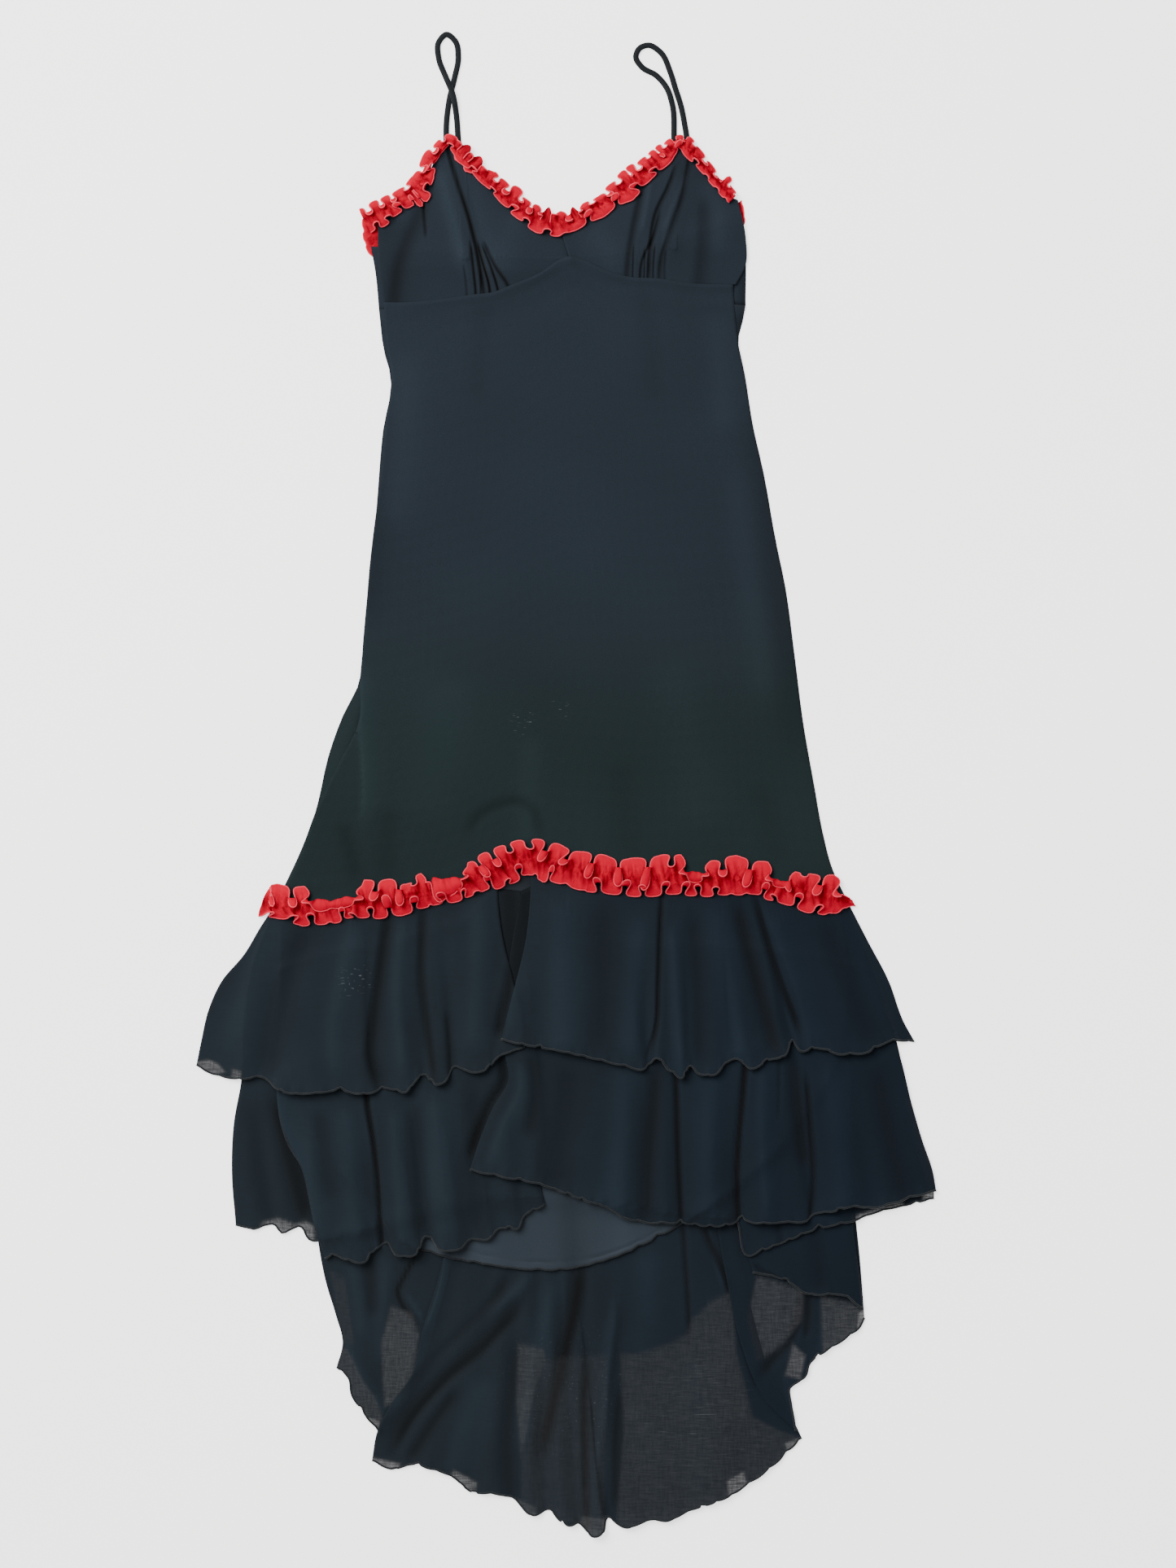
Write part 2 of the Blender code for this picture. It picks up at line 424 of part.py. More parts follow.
def strap_rings(line):
    """A strap's middle line in even steps, the direction to its side at each, and its length."""
    length = np.linalg.norm(np.diff(np.array(line, float), axis=0), axis=1).sum()
    count = int(length / STRAP_STEP) + 1
    middle = smooth(line, np.linspace(0, 1, count))
    heading = np.gradient(middle, axis=0)
    heading /= np.linalg.norm(heading, axis=1)[:, None]
    aside = np.stack([-heading[:, 1], heading[:, 0]], 1)
    return middle, aside, length


def strap(name, line, turn):
    """A narrow tube of cloth, an oval of eight points at each step, which turns back over its first run."""
    middle, aside, length = strap_rings(line)
    count = len(middle)
    half = STRAP_WIDTH / 2
    ribbon = np.stack([middle + aside * half, middle - aside * half])
    triangles = triangles_of(2, count)
    distance = np.linspace(0, length, count)
    first = distance < turn - 2 * STRAP_STEP
    base = pile.under(ribbon.reshape(-1, 2), triangles).reshape(2, count).max(0) + GAP
    on_first = triangles[np.all(np.isin(triangles % count, np.nonzero(first)[0]), axis=1)]
    pile.add(np.column_stack([ribbon.reshape(-1, 2), np.tile(base + STRAP_THICKNESS, 2)]), on_first)
    again = pile.under(ribbon.reshape(-1, 2), triangles).reshape(2, count).max(0) + GAP
    base = np.where(distance > turn + 2 * STRAP_STEP, again, base)
    base = soften(base[None])[0]
    angles = (np.arange(8) + 0.5) * np.pi / 4
    width, height = np.cos(angles) / np.cos(np.pi / 8), np.sin(angles) / np.sin(3 * np.pi / 8)
    x_y = middle[:, None] + aside[:, None] * (width * half)[None, :, None]
    z = base[:, None] + STRAP_THICKNESS / 2 * (1 + height)[None]
    points = np.concatenate([x_y, z[..., None]], axis=-1).reshape(-1, 3)
    index = np.arange(count * 8).reshape(count, 8)
    a, b = index[:-1], index[1:]
    a2, b2 = np.roll(a, -1, 1), np.roll(b, -1, 1)
    around = np.stack([a, b2, a2, a, b, b2], -1).reshape(-1, 3)
    last = (count - 1) * 8
    caps = [(0, i, i + 1) for i in range(1, 7)] + [(last, last + i + 1, last + i) for i in range(1, 7)]
    pile.add(np.column_stack([ribbon.reshape(-1, 2), np.tile(base + STRAP_THICKNESS, 2)]), triangles)
    pieces.append((name, points, np.concatenate([around, np.array(caps)]), CREPE))


def make_dress():
    """Lays every piece, from the floor up."""
    ruffle("neck_ruffle_back", NECK_RUFFLE_BACK, RED_CLOTH, 0, HIDDEN_STEP, True)
    ruffle("hip_ruffle_back", HIP_RUFFLE_BACK, RED_CLOTH, 0, HIDDEN_STEP, True)
    body_panel("bodice_back", BACK_NECKLINE, EMPIRE_SEAM, BODICE_LEFT, BODICE_RIGHT, 13, 4, (), 0, CREPE)
    body_panel("skirt_back", EMPIRE_SEAM, HIP_SEAM, BACK_LEFT, BACK_RIGHT, 9, 17, (), LAP, CREPE)
    flounce("train_left", TRAIN_LEFT, TRAIN_SEAM, TRAIN_LEFT_EDGES, TURNED_LEVELS, 0.4, CHIFFON)
    flounce("train_centre", TRAIN_CENTRE, TRAIN_SEAM, TRAIN_CENTRE_EDGES, TRAIN_LEVELS, 0.3, CHIFFON)
    flounce("train_right", TRAIN_RIGHT, TRAIN_SEAM, TRAIN_RIGHT_EDGES, TURNED_LEVELS, 0.4, CHIFFON)
    flounce("train_turn", TRAIN_TURN, TRAIN_SEAM, TRAIN_TURN_EDGES, TURNED_LEVELS, 0.4, CHIFFON)
    flounce("flounce_back", BACK_FLOUNCE, HIP_SEAM, BACK_FLOUNCE_EDGES, BACK_LEVELS, 0.5, CHIFFON)
    flounce("lining_skirt", LINING_SKIRT, HIP_SEAM, LINING_EDGES, np.linspace(0, 1, 9), 0.5, LINING_CLOTH)
    flounce("flounce_lower_left", LOWER_LEFT, LOWER_SEAM, LOWER_LEFT_EDGES, TIER_LEVELS, 0.25, CHIFFON)
    flounce("flounce_lower_right", LOWER_RIGHT, LOWER_SEAM, LOWER_RIGHT_EDGES, TIER_LEVELS, 0.25, CHIFFON)
    flounce("flounce_upper_left", UPPER_LEFT, HIP_SEAM, UPPER_LEFT_EDGES, TIER_LEVELS, 0.1, CHIFFON)
    flounce("flounce_upper_right", UPPER_RIGHT, HIP_SEAM, UPPER_RIGHT_EDGES, TIER_LEVELS, 0.1, CHIFFON)
    strap("strap_left", STRAP_LEFT_LINE, STRAP_LEFT_TURN)
    strap("strap_right", STRAP_RIGHT_LINE, STRAP_RIGHT_TURN)
    cup("cup_left", CUP_LEFT, CUP_LEFT_SIDE, ((-2, 206), (5, 230 + LAP)))
    cup("cup_right", CUP_RIGHT, ((-4, 205), (5, 230 + LAP)), CUP_RIGHT_SIDE)
    body_panel("skirt_front", EMPIRE_SEAM, HIP_SEAM, FRONT_LEFT, FRONT_RIGHT, 17, 17, SKIRT_FOLDS, 0, CREPE)
    ruffle("neck_ruffle_front", NECK_RUFFLE, RED_CLOTH)
    ruffle("hip_ruffle_front", HIP_RUFFLE, RED_CLOTH)


def material(name, finish):
    """A plain Principled finish: colour and roughness."""
    made = bpy.data.materials.new(name)
    made.use_nodes = True
    shader = made.node_tree.nodes["Principled BSDF"]
    shader.inputs["Base Color"].default_value = (*finish[:3], 1)
    shader.inputs["Roughness"].default_value = finish[3]
    shader.inputs["Metallic"].default_value = 0
    return made


def build():
    """Turns the pieces into objects in metres, with the middle of the dress over the origin."""
    for old in list(bpy.data.objects):
        bpy.data.objects.remove(old)
    make_dress()
    every = np.concatenate([points for _, points, _, _ in pieces])
    centre = (every.min(0) + every.max(0)) / 2
    for name, points, faces, finish in pieces:
        place = np.column_stack([points[:, 0] - centre[0], centre[1] - points[:, 1], points[:, 2]]) / 1000
        mesh = bpy.data.meshes.new(name)
        mesh.from_pydata(place.tolist(), [], faces.tolist())
        mesh.materials.append(material(name, finish))
        mesh.shade_smooth()
        mesh.set_sharp_from_angle(angle=np.radians(SHARP_ANGLE))
        bpy.context.scene.collection.objects.link(bpy.data.objects.new(name, mesh))


build()
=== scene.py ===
"""Dresses the high-low dress: crepe, sheer chiffon, gathered red ruffles and rolled hems, laid flat.

Each piece is a thin shell of cloth on the form of its solid. The pieces are laid one after another from the
floor up, in the order in which the solids lie, and each rests on a height map of those below it.

Tables of outlines and folds hold millimetres: across is to the right of the middle of the dress, down is from
the top of the straps towards the train. Tables of creases, lobes and sheer places hold chart places, which
count the photograph's picture points: one is 0.83 mm.
"""

import bpy
import numpy as np
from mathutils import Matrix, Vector


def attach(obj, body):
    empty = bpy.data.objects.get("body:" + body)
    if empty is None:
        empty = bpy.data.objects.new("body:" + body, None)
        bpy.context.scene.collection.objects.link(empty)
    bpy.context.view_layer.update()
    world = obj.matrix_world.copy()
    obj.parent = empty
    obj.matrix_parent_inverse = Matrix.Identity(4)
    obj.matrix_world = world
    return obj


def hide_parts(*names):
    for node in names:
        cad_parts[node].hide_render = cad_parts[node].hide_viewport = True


bl_info = {
    "name": "High-low dress",
    "version": (1, 0, 0),
    "blender": (4, 5, 0),
    "location": "View3D > Sidebar > Dress",
    "description": "Lays the cloth of a high-low dress on its solids, piece by piece",
    "category": "Object",
}

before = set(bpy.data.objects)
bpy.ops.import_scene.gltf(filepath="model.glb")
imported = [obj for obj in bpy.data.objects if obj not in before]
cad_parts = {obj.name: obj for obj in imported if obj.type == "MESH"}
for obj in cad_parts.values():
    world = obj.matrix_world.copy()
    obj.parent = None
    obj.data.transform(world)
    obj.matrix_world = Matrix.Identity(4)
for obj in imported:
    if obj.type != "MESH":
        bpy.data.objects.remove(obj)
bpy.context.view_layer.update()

# The way the solids lie, in millimetres
WALL = 1.2
GAP = 0.3
LAP = 4.0
# How far the lower flounces go up under the hip ruffle past their solids
TIER_LAP = 32.0
CUP_DOME = 5.0
STRAP_STEP = 1.6
# How far past its turn a strap lies on its own first run
STRAP_CROSSING = 15
MIDDLE_ACROSS = 1.0
MIDDLE_DOWN = 766.71

# The chart of the photograph
CHART_STEP = 0.83
CHART_MIDDLE = 694.5
CHART_TOP = 39.0

# The height map, in millimetres
CELL = 1.0
MAP_LOW = (-430.0, -40.0)
MAP_SIZE = (880, 1640)
TENT = 5
# How many times the cloth is tented down from what it rests on
SHEET_TENTS = 4
CUP_TENTS = 9
RUFFLE_TENTS = 3
STRAP_TENTS = 1
# How far a sheet may sink into the room that the solid below it leaves over its thin cloth
SINK = 0.95
FLOOR_CLEAR = 0.05
# How far the cups go up under the neck ruffle past their solids
TUCK_UP = 6.5
# How high the middle of the front skirt and the cups stand off what lies below
SKIRT_LOFT = 1.6
CUP_LOFT = 1.2

# Creases: points along each line, and the reaches from the line at which the bell ends
CREASE_POINTS = 56
CREASE_WINDOW = 3
# A crease this high or deep has the full painted shade or highlight, but a ridge is painted no more than this
# much lighter
FULL_PAINTED_SHADE = 4
RIDGE_PAINTED_HIGHLIGHT = 0.4
# A fold deeper than this has a dark shadow with sharp sides
DEEP_FOLD = -5

# Rolled hems, in millimetres: how far apart their lobes are, over what run their spacing and their depth
# wander, where they curl over, their fine ripple, how far up the cloth they reach, and their still ends
HEM_LOBE = 19
HEM_WANDER = 23
HEM_SWELL = 41
HEM_CURL = 57
HEM_RIPPLE = 13
HEM_REACH = 14.0
HEM_ENDS = 12
# How far the middle of a roll lies above the edge that it is sewn on, its height as a share of its width,
# and the sides of its section
HEM_LIFT = 0.3
EDGE_LIFT = 0.2
ROLL_FLATNESS = 0.8
ROLL_SIDES = 6
STRAP_SIDES = 14
# Rows of points that stand closer together towards the hem: middle, half width, how much
HEM_ROWS = ((1.0, 0.06, 4.0),)

# Ruffles, in millimetres: the widest notch, the least and the most that lobes may be apart, the run past the
# last lobe, and the notch after which the cloth stands up in full
NOTCH = 19
LOBES_APART = (5, 60)
LAST_LOBE = 14.0
TALL_NOTCH = 12
# How round a lobe is: its edge falls by this times the distance to its tip squared, and by no more than
ROUNDING = 0.022
MOST_ROUNDED = 3
# The wrinkles' spacing at the stitches
WRINKLE = 6.7
# The length of a stitch of the overlocked edges, in metres
STITCH = 0.0012
# A ruffle that stands lower than this many metres lies flat, and needs fewer rows of points
LOW_STAND = 0.001
STANDING_ROWS = 13
FLAT_ROWS = 8
# How often its middle line and its heading are evened out, and how soon its puff is full as it stands higher
LINE_EVENED = 12
HEADING_EVENED = 40
PUFF_PER_METRE = 300
# The ruffles behind, which hardly show: stand, points' spacing, lobes' spacing, the notch after each lobe
HIDDEN_STAND = 0.0003
HIDDEN_STEP = 1.6
HIDDEN_LOBE = 12.0
HIDDEN_NOTCH = (0.75, 0.1, 0.0)

# Worn places: across, up, reach, grain across and down (per metre), how pale
SCUFF_CODE = "#595D61"
CREPE_SCUFFS = ((-0.044, 0.064, 0.016, 150.0, 900.0, 0.7), (-0.005, 0.076, 0.014, 120.0, 1100.0, 0.6))
CHIFFON_SCUFFS = ((-0.212, -0.199, 0.024, 120.0, 700.0, 0.7), (-0.222, -0.206, 0.014, 700.0, 160.0, 0.5),
                  (0.13, -0.64, 0.075, 40.0, 900.0, 0.3), (0.0, -0.62, 0.09, 300.0, 500.0, 0.2))

# The stage, in metres and watts
FLOOR_SIDE = 12.0
FLOOR_LEVEL = -0.0003
FLOOR_GLOW = 1.4
SKY_STRENGTH = 0.8
SOFTBOX_SIDE = 3.0
SOFTBOX_WATTS = 420
SOFTBOX_PLACE = (-2.2, 2.0, 3.6)
SENSOR = 36.0
CAMERA_HEIGHT = 4.0
CAMERA_CLIP = 20
CHART_HEIGHT = 1926
VIEW_MIDDLE = (0.02224, -0.0002)

# The seams that go right across: across, down
EMPIRE_SEAM = ((-185, 276), (-161, 276), (-128, 273), (-91, 268), (-74, 266), (-56, 259), (-29, 248),
               (5, 230), (21, 234), (42, 244), (63, 250), (96, 252), (121, 256), (171, 258))
HIP_SEAM = ((-296, 891), (-261, 892), (-203, 886), (-161, 882), (-128, 876), (-95, 864), (-62, 849),
            (-33, 843), (5, 853), (54, 862), (112, 863), (171, 863), (212, 868), (254, 878), (287, 885))
LOWER_SEAM = ((-312, 955), (-178, 955), (-103, 922), (-68, 879), (-33, 874), (5, 914), (63, 955),
              (316, 955))
TRAIN_SEAM = ((-258, 1047), (-112, 1038), (21, 1034), (171, 1038), (295, 1047))

# The sides of the body: across, down
FRONT_LEFT = ((-185, 276), (-183, 316), (-177, 352), (-183, 399), (-190, 466), (-199, 540), (-205, 615),
              (-209, 659), (-210, 702), (-230, 744), (-250, 784), (-268, 831), (-296, 891))
FRONT_RIGHT = ((171, 258), (173, 287), (176, 315), (183, 349), (191, 399), (203, 453), (214, 515),
               (225, 569), (234, 636), (243, 706), (254, 769), (263, 818), (272, 852), (287, 885))
BACK_LEFT = ((-190, 283), (-185, 325), (-178, 352), (-186, 408), (-193, 491), (-201, 565), (-207, 632),
             (-209, 659), (-228, 700), (-242, 740), (-252, 785), (-266, 831), (-284, 874))
BACK_RIGHT = ((184, 279), (180, 300), (176, 315), (181, 345), (189, 395), (200, 445), (211, 499),
              (222, 559), (231, 632), (240, 698), (251, 760), (260, 814), (268, 849), (281, 880))
BODICE_LEFT = ((-198, 219), (-193, 250), (-190, 283))
BODICE_RIGHT = ((177, 185), (183, 217), (184, 279))
BACK_NECKLINE = ((-198, 219), (-112, 227), (-4, 232), (104, 217), (177, 185))

# The folds of a cup: neckline across, neckline down, empire seam across, ridge height at the seam
CUP_LEFT = ((-191, 194, -185, 0), (-178, 186, -170, 0), (-163, 176, -155, 1), (-152, 165, -140, 0),
            (-142, 157, -124, 1), (-136, 149, -112, 0), (-128, 134, -102, 1), (-122, 124, -94, 0),
            (-117, 115, -89, 3), (-112, 120, -85, 0), (-107, 126, -81, 3), (-102, 134, -77, 0),
            (-96, 140, -73, 3), (-89, 148, -68, 0), (-82, 156, -64, 3), (-73, 164, -60, 0),
            (-64, 173, -55, 2), (-52, 182, -45, 0), (-39, 192, -33, 1), (-22, 200, -16, 1),
            (-2, 206, 5, 0))
CUP_RIGHT = ((-4, 205, 5, 0), (11, 198, 18, 1), (26, 189, 32, 0), (41, 180, 44, 1), (54, 171, 54, 0),
             (65, 163, 62, 0), (73, 156, 66, 3), (79, 150, 69, 0), (86, 144, 72, 3), (93, 139, 75, 0),
             (98, 134, 78, 3), (104, 129, 80, 0), (110, 125, 83, 3), (115, 120, 86, 0), (119, 117, 90, 2),
             (123, 122, 94, 0), (128, 129, 100, 1), (134, 138, 111, 0), (142, 148, 125, 1),
             (151, 158, 141, 0), (162, 166, 156, 1), (176, 172, 174, 0))
CUP_LEFT_SIDE = ((-191, 194), (-190, 242), (-185, 276))
CUP_RIGHT_SIDE = ((176, 172), (184, 210), (184, 238), (174, 258))
CUP_LEFT_MIDDLE = ((-2, 206), (5, 230 + LAP))
CUP_RIGHT_MIDDLE = ((-4, 205), (5, 230 + LAP))
# Where a cup's points stand closer together for its gathers, as shares of its width: middle, half width and
# how much
CUP_LEFT_GATHERS = (0.47, 0.15, 2.0)
CUP_RIGHT_GATHERS = (0.5, 0.15, 2.0)
CUP_POINTS = (200, 84)
CUP_ROWS = ((0.9, 0.3, 1.0),)

# The folds of a flounce: seam across, hem across, hem down, sideways bow half way, ridge height at the hem
UPPER_LEFT = ((-296, -376, 1053, 0, 0), (-284, -359, 1062, 0, 1), (-271, -329, 1067, 0, 4),
              (-257, -309, 1065, 0, 2), (-244, -288, 1079, 0, 5), (-229, -257, 1081, 0, 6),
              (-218, -229, 1078, 0, 4), (-206, -205, 1082, 0, 5), (-193, -182, 1076, -8, 0),
              (-180, -161, 1079, 0, 6), (-168, -151, 1067, 0, 3), (-157, -142, 1062, 0, 0),
              (-146, -133, 1072, 0, 5), (-135, -122, 1069, 0, 4), (-124, -113, 1054, 0, 0),
              (-113, -95, 1060, 0, 4), (-102, -80, 1057, 0, 4), (-87, -69, 1045, 0, 2),
              (-68, -41, 1034, -2, 0))
UPPER_RIGHT = ((-35, -65, 1026, 4, 0), (-25, -45, 1031, 3, 3), (-14, -22, 1035, 2, 4), (0, 5, 1040, 0, 6),
               (15, 34, 1047, 0, 4), (29, 59, 1053, 0, 3), (48, 78, 1057, 0, 3), (71, 86, 1052, 0, 0),
               (94, 94, 1045, 0, 6), (106, 108, 1059, 0, 5), (114, 119, 1065, 0, 6),
               (122, 126, 1053, 0, 3), (131, 136, 1061, 0, 3), (142, 152, 1062, 0, 4),
               (152, 164, 1050, 0, 2), (162, 175, 1046, -5, 0), (172, 189, 1056, -5, 3),
               (182, 208, 1047, -3, 2), (192, 223, 1043, -3, 6), (199, 231, 1027, -3, 1),
               (209, 239, 1038, 0, 3), (219, 256, 1035, 0, 2), (230, 278, 1041, 0, 4),
               (245, 308, 1039, 0, 5), (260, 328, 1029, 0, 2), (287, 356, 1029, 0, 0))
LOWER_LEFT = ((-290, -245, 1250, 0, 1), (-276, -234, 1246, 0, 4), (-263, -218, 1252, 0, 7),
              (-249, -203, 1252, 0, 6), (-238, -192, 1239, 0, 2), (-228, -182, 1234, 0, 0),
              (-216, -171, 1246, 0, 6), (-201, -151, 1244, 0, 7), (-190, -144, 1229, 0, 3),
              (-180, -137, 1228, 0, 1), (-168, -127, 1240, 0, 6), (-153, -107, 1239, 0, 6),
              (-140, -96, 1230, 0, 2), (-127, -78, 1230, 0, 4), (-113, -68, 1219, 0, 2),
              (-98, -49, 1219, 0, 4), (-83, -40, 1204, 0, 1), (-68, -27, 1198, 0, 2),
              (-45, -21, 1194, 0, 0))
LOWER_RIGHT = ((-45, -97, 1159, 0, 1), (-27, -63, 1166, 0, 3), (-9, -27, 1173, 0, 4), (8, -2, 1182, 0, 4),
               (24, 23, 1191, 0, 4), (41, 43, 1197, 0, 3), (56, 59, 1207, 0, 4), (71, 81, 1213, 0, 0),
               (88, 103, 1213, 0, 4), (101, 119, 1213, 0, 1), (117, 144, 1216, 0, 5),
               (134, 165, 1215, 0, 4), (149, 180, 1210, 7, 0), (162, 195, 1213, 5, 6),
               (179, 219, 1212, 0, 5), (195, 245, 1211, 0, 3), (210, 254, 1204, 0, 0),
               (225, 272, 1201, 0, 5), (240, 292, 1196, 0, 5), (257, 313, 1198, 0, 3),
               (273, 337, 1192, 0, 5), (290, 360, 1185, 0, 3), (305, 378, 1181, 0, 0))
BACK_FLOUNCE = ((-294, -336, 1216, 0, 0), (-284, -317, 1220, 0, 2), (-274, -298, 1215, 0, 1),
                (-264, -288, 1224, 0, 2), (-253, -271, 1217, 0, 1), (-241, -261, 1230, 0, 2),
                (-220, -224, 1225, 0, 0), (-178, -170, 1211, 0, 0), (-112, -103, 1194, 0, 0),
                (-45, -37, 1188, 0, 0), (21, 38, 1194, 0, 0), (88, 104, 1202, 0, 0),
                (129, 152, 1207, 0, 0), (147, 173, 1210, 0, 0), (161, 185, 1247, 0, 0),
                (175, 204, 1240, 0, 1), (191, 222, 1233, 0, 1), (212, 254, 1220, 0, 1),
                (237, 295, 1211, 0, 1), (254, 320, 1202, 0, 2), (269, 347, 1196, 0, 1),
                (283, 376, 1189, 0, 0))
LINING_SKIRT = ((-290, -224, 1163, 0, 0), (-244, -196, 1196, 0, 0), (-203, -161, 1233, 0, 0),
                (-161, -124, 1247, 0, 0), (-112, -78, 1256, 0, 1), (-62, -37, 1261, 0, 1),
                (-12, 5, 1260, 0, 1), (38, 50, 1248, 0, 1), (88, 92, 1229, 0, 0), (137, 129, 1208, 0, 0),
                (212, 175, 1175, 0, 0), (278, 220, 1134, 0, 0))
TRAIN_CENTRE = ((-145, -197, 1456, 0, 0), (-138, -173, 1465, 0, 1), (-132, -160, 1460, 0, 2),
                (-123, -137, 1464, 0, 4), (-115, -115, 1472, 0, 3), (-107, -95, 1488, 0, 2),
                (-95, -75, 1489, 0, 5), (-82, -52, 1495, 0, 2), (-70, -33, 1512, 0, 5),
                (-60, -18, 1506, 0, 0), (-50, 1, 1521, 0, 6), (-42, 16, 1521, 0, 2),
                (-34, 27, 1532, 0, 7), (-27, 38, 1530, 0, 6), (-20, 42, 1516, 0, 0), (-9, 63, 1524, 0, 6),
                (5, 86, 1516, 0, 4), (18, 104, 1517, 0, 5), (33, 126, 1507, 0, 3), (48, 147, 1500, 0, 5),
                (63, 167, 1492, 0, 4), (78, 184, 1481, 0, 3), (93, 208, 1464, 0, 3),
                (107, 225, 1448, 0, 1), (129, 241, 1433, 0, 0))
TRAIN_LEFT = ((-257, -233, 1361, 0, 0), (-240, -221, 1371, 0, 1), (-218, -218, 1387, 0, 2),
              (-196, -209, 1402, 0, 3), (-175, -200, 1414, 0, 1), (-153, -190, 1426, 0, 0))
TRAIN_RIGHT = ((146, 235, 1426, 0, 0), (160, 231, 1402, 0, 0), (174, 229, 1383, 0, 1),
               (191, 244, 1371, 0, 3), (212, 250, 1356, 0, 2), (233, 264, 1345, 0, 3),
               (254, 283, 1333, 0, 3), (273, 299, 1321, 0, 2), (295, 305, 1311, 0, 0))
TRAIN_TURN = ((175, 191, 1264, 0, 0), (195, 225, 1272, 0, 2), (216, 245, 1285, 0, 3),
              (241, 283, 1287, 0, 3), (266, 301, 1299, 0, 2), (290, 303, 1296, 0, 0))

# The two free edges of each flounce, from its seam to its hem: across, down
UPPER_LEFT_EDGES = (((-296, 891), (-309, 910), (-327, 940), (-351, 969), (-364, 998), (-371, 1028),
                     (-376, 1053)),
                    ((-68, 852), (-67, 885), (-62, 922), (-52, 961), (-45, 997), (-41, 1034)))
UPPER_RIGHT_EDGES = (((-35, 844), (-39, 889), (-45, 930), (-52, 961), (-60, 997), (-65, 1026)),
                     ((287, 885), (308, 926), (330, 968), (345, 1009), (356, 1029)))
LOWER_LEFT_EDGES = (((-290, 955), (-294, 1076), (-290, 1113), (-283, 1135), (-268, 1159), (-262, 1184),
                     (-256, 1213), (-245, 1250)),
                    ((-45, 876), (-35, 1005), (-24, 1113), (-25, 1175), (-21, 1194)))
LOWER_RIGHT_EDGES = (((-45, 876), (-59, 964), (-62, 1038), (-58, 1068), (-73, 1095), (-85, 1123),
                      (-97, 1159)),
                     ((305, 955), (328, 1005), (342, 1047), (353, 1092), (364, 1130), (375, 1163),
                      (378, 1181)))
BACK_FLOUNCE_EDGES = (((-294, 891), (-317, 947), (-328, 1013), (-330, 1067), (-338, 1113), (-340, 1163),
                       (-336, 1216)),
                      ((283, 884), (313, 955), (335, 1018), (352, 1092), (367, 1142), (376, 1171),
                       (376, 1189)))
LINING_EDGES = (((-290, 891), (-286, 1005), (-261, 1113), (-224, 1163)),
                ((278, 884), (287, 964), (270, 1063), (220, 1134)))
TRAIN_CENTRE_EDGES = (((-145, 1040), (-122, 1196), (-124, 1246), (-145, 1321), (-157, 1370), (-178, 1399),
                       (-192, 1428), (-197, 1456)),
                      ((129, 1037), (166, 1213), (181, 1267), (197, 1329), (212, 1379), (233, 1416),
                       (241, 1433)))
TRAIN_LEFT_EDGES = (((-257, 1047), (-256, 1196), (-252, 1233), (-244, 1275), (-234, 1308), (-227, 1337),
                     (-233, 1361)),
                    ((-153, 1041), (-112, 1213), (-132, 1312), (-161, 1391), (-190, 1426)))
TRAIN_RIGHT_EDGES = (((146, 1037), (154, 1213), (166, 1279), (179, 1337), (204, 1395), (235, 1426)),
                     ((295, 1047), (295, 1196), (300, 1246), (304, 1296), (305, 1311)))
TRAIN_TURN_EDGES = (((175, 1038), (175, 1163), (181, 1213), (186, 1246), (191, 1264)),
                    ((290, 1047), (292, 1196), (297, 1246), (302, 1279), (303, 1296)))

# The middle lines of the ruffles: across, down. Those behind also have the reach of the upper edge and the
# reach of the lower edge, because their lobes have no table.
NECK_RUFFLE = ((-201, 192), (-175, 177), (-147, 157), (-138, 139), (-129, 125), (-118, 115),
               (-107, 124), (-94, 138), (-78, 154), (-62, 169), (-41, 183), (-24, 191), (-8, 195),
               (9, 192), (29, 181), (50, 168), (71, 154), (88, 140), (104, 127), (118, 115), (130, 125),
               (143, 138), (155, 152), (170, 168))
NECK_RUFFLE_BACK = ((-196, 190, 12, 11), (-196, 208, 12, 10), (-193, 222, 12, 9), (-179, 232, 9, 9),
                    (-112, 232, 10, 10), (-4, 236, 10, 10), (104, 221, 10, 10), (160, 207, 8, 8),
                    (177, 194, 6, 6), (176, 174, 5, 5))
HIP_RUFFLE = ((-305, 891), (-261, 892), (-203, 886), (-161, 882), (-128, 876), (-95, 864), (-62, 849),
              (-33, 843), (5, 853), (54, 862), (112, 863), (171, 863), (212, 868), (254, 878),
              (290, 885))
HIP_RUFFLE_BACK = ((-283, 891, 11, 11), (-203, 886, 11, 11), (-128, 876, 11, 11), (-62, 849, 11, 11),
                   (-33, 843, 11, 11), (54, 862, 11, 11), (171, 863, 11, 11), (212, 868, 11, 11),
                   (278, 883, 11, 11))

# The middle lines of the straps, from the cup round the loop to the back neckline: across, down
STRAP_LEFT_LINE = ((-121, 121), (-121, 92), (-118, 69), (-113, 48), (-109, 26), (-112, 10), (-121, 3),
                   (-129, 11), (-129, 27), (-122, 46), (-115, 63), (-111, 85), (-109, 111), (-105, 146),
                   (-101, 232))
STRAP_RIGHT_LINE = ((126, 122), (122, 96), (118, 76), (112, 57), (107, 41), (97, 21), (85, 14), (76, 17),
                    (72, 26), (78, 36), (93, 45), (103, 57), (109, 74), (111, 109), (111, 146),
                    (109, 222))

# How far along each strap it turns back on itself
STRAP_LEFT_TURN = 123
STRAP_RIGHT_TURN = 120
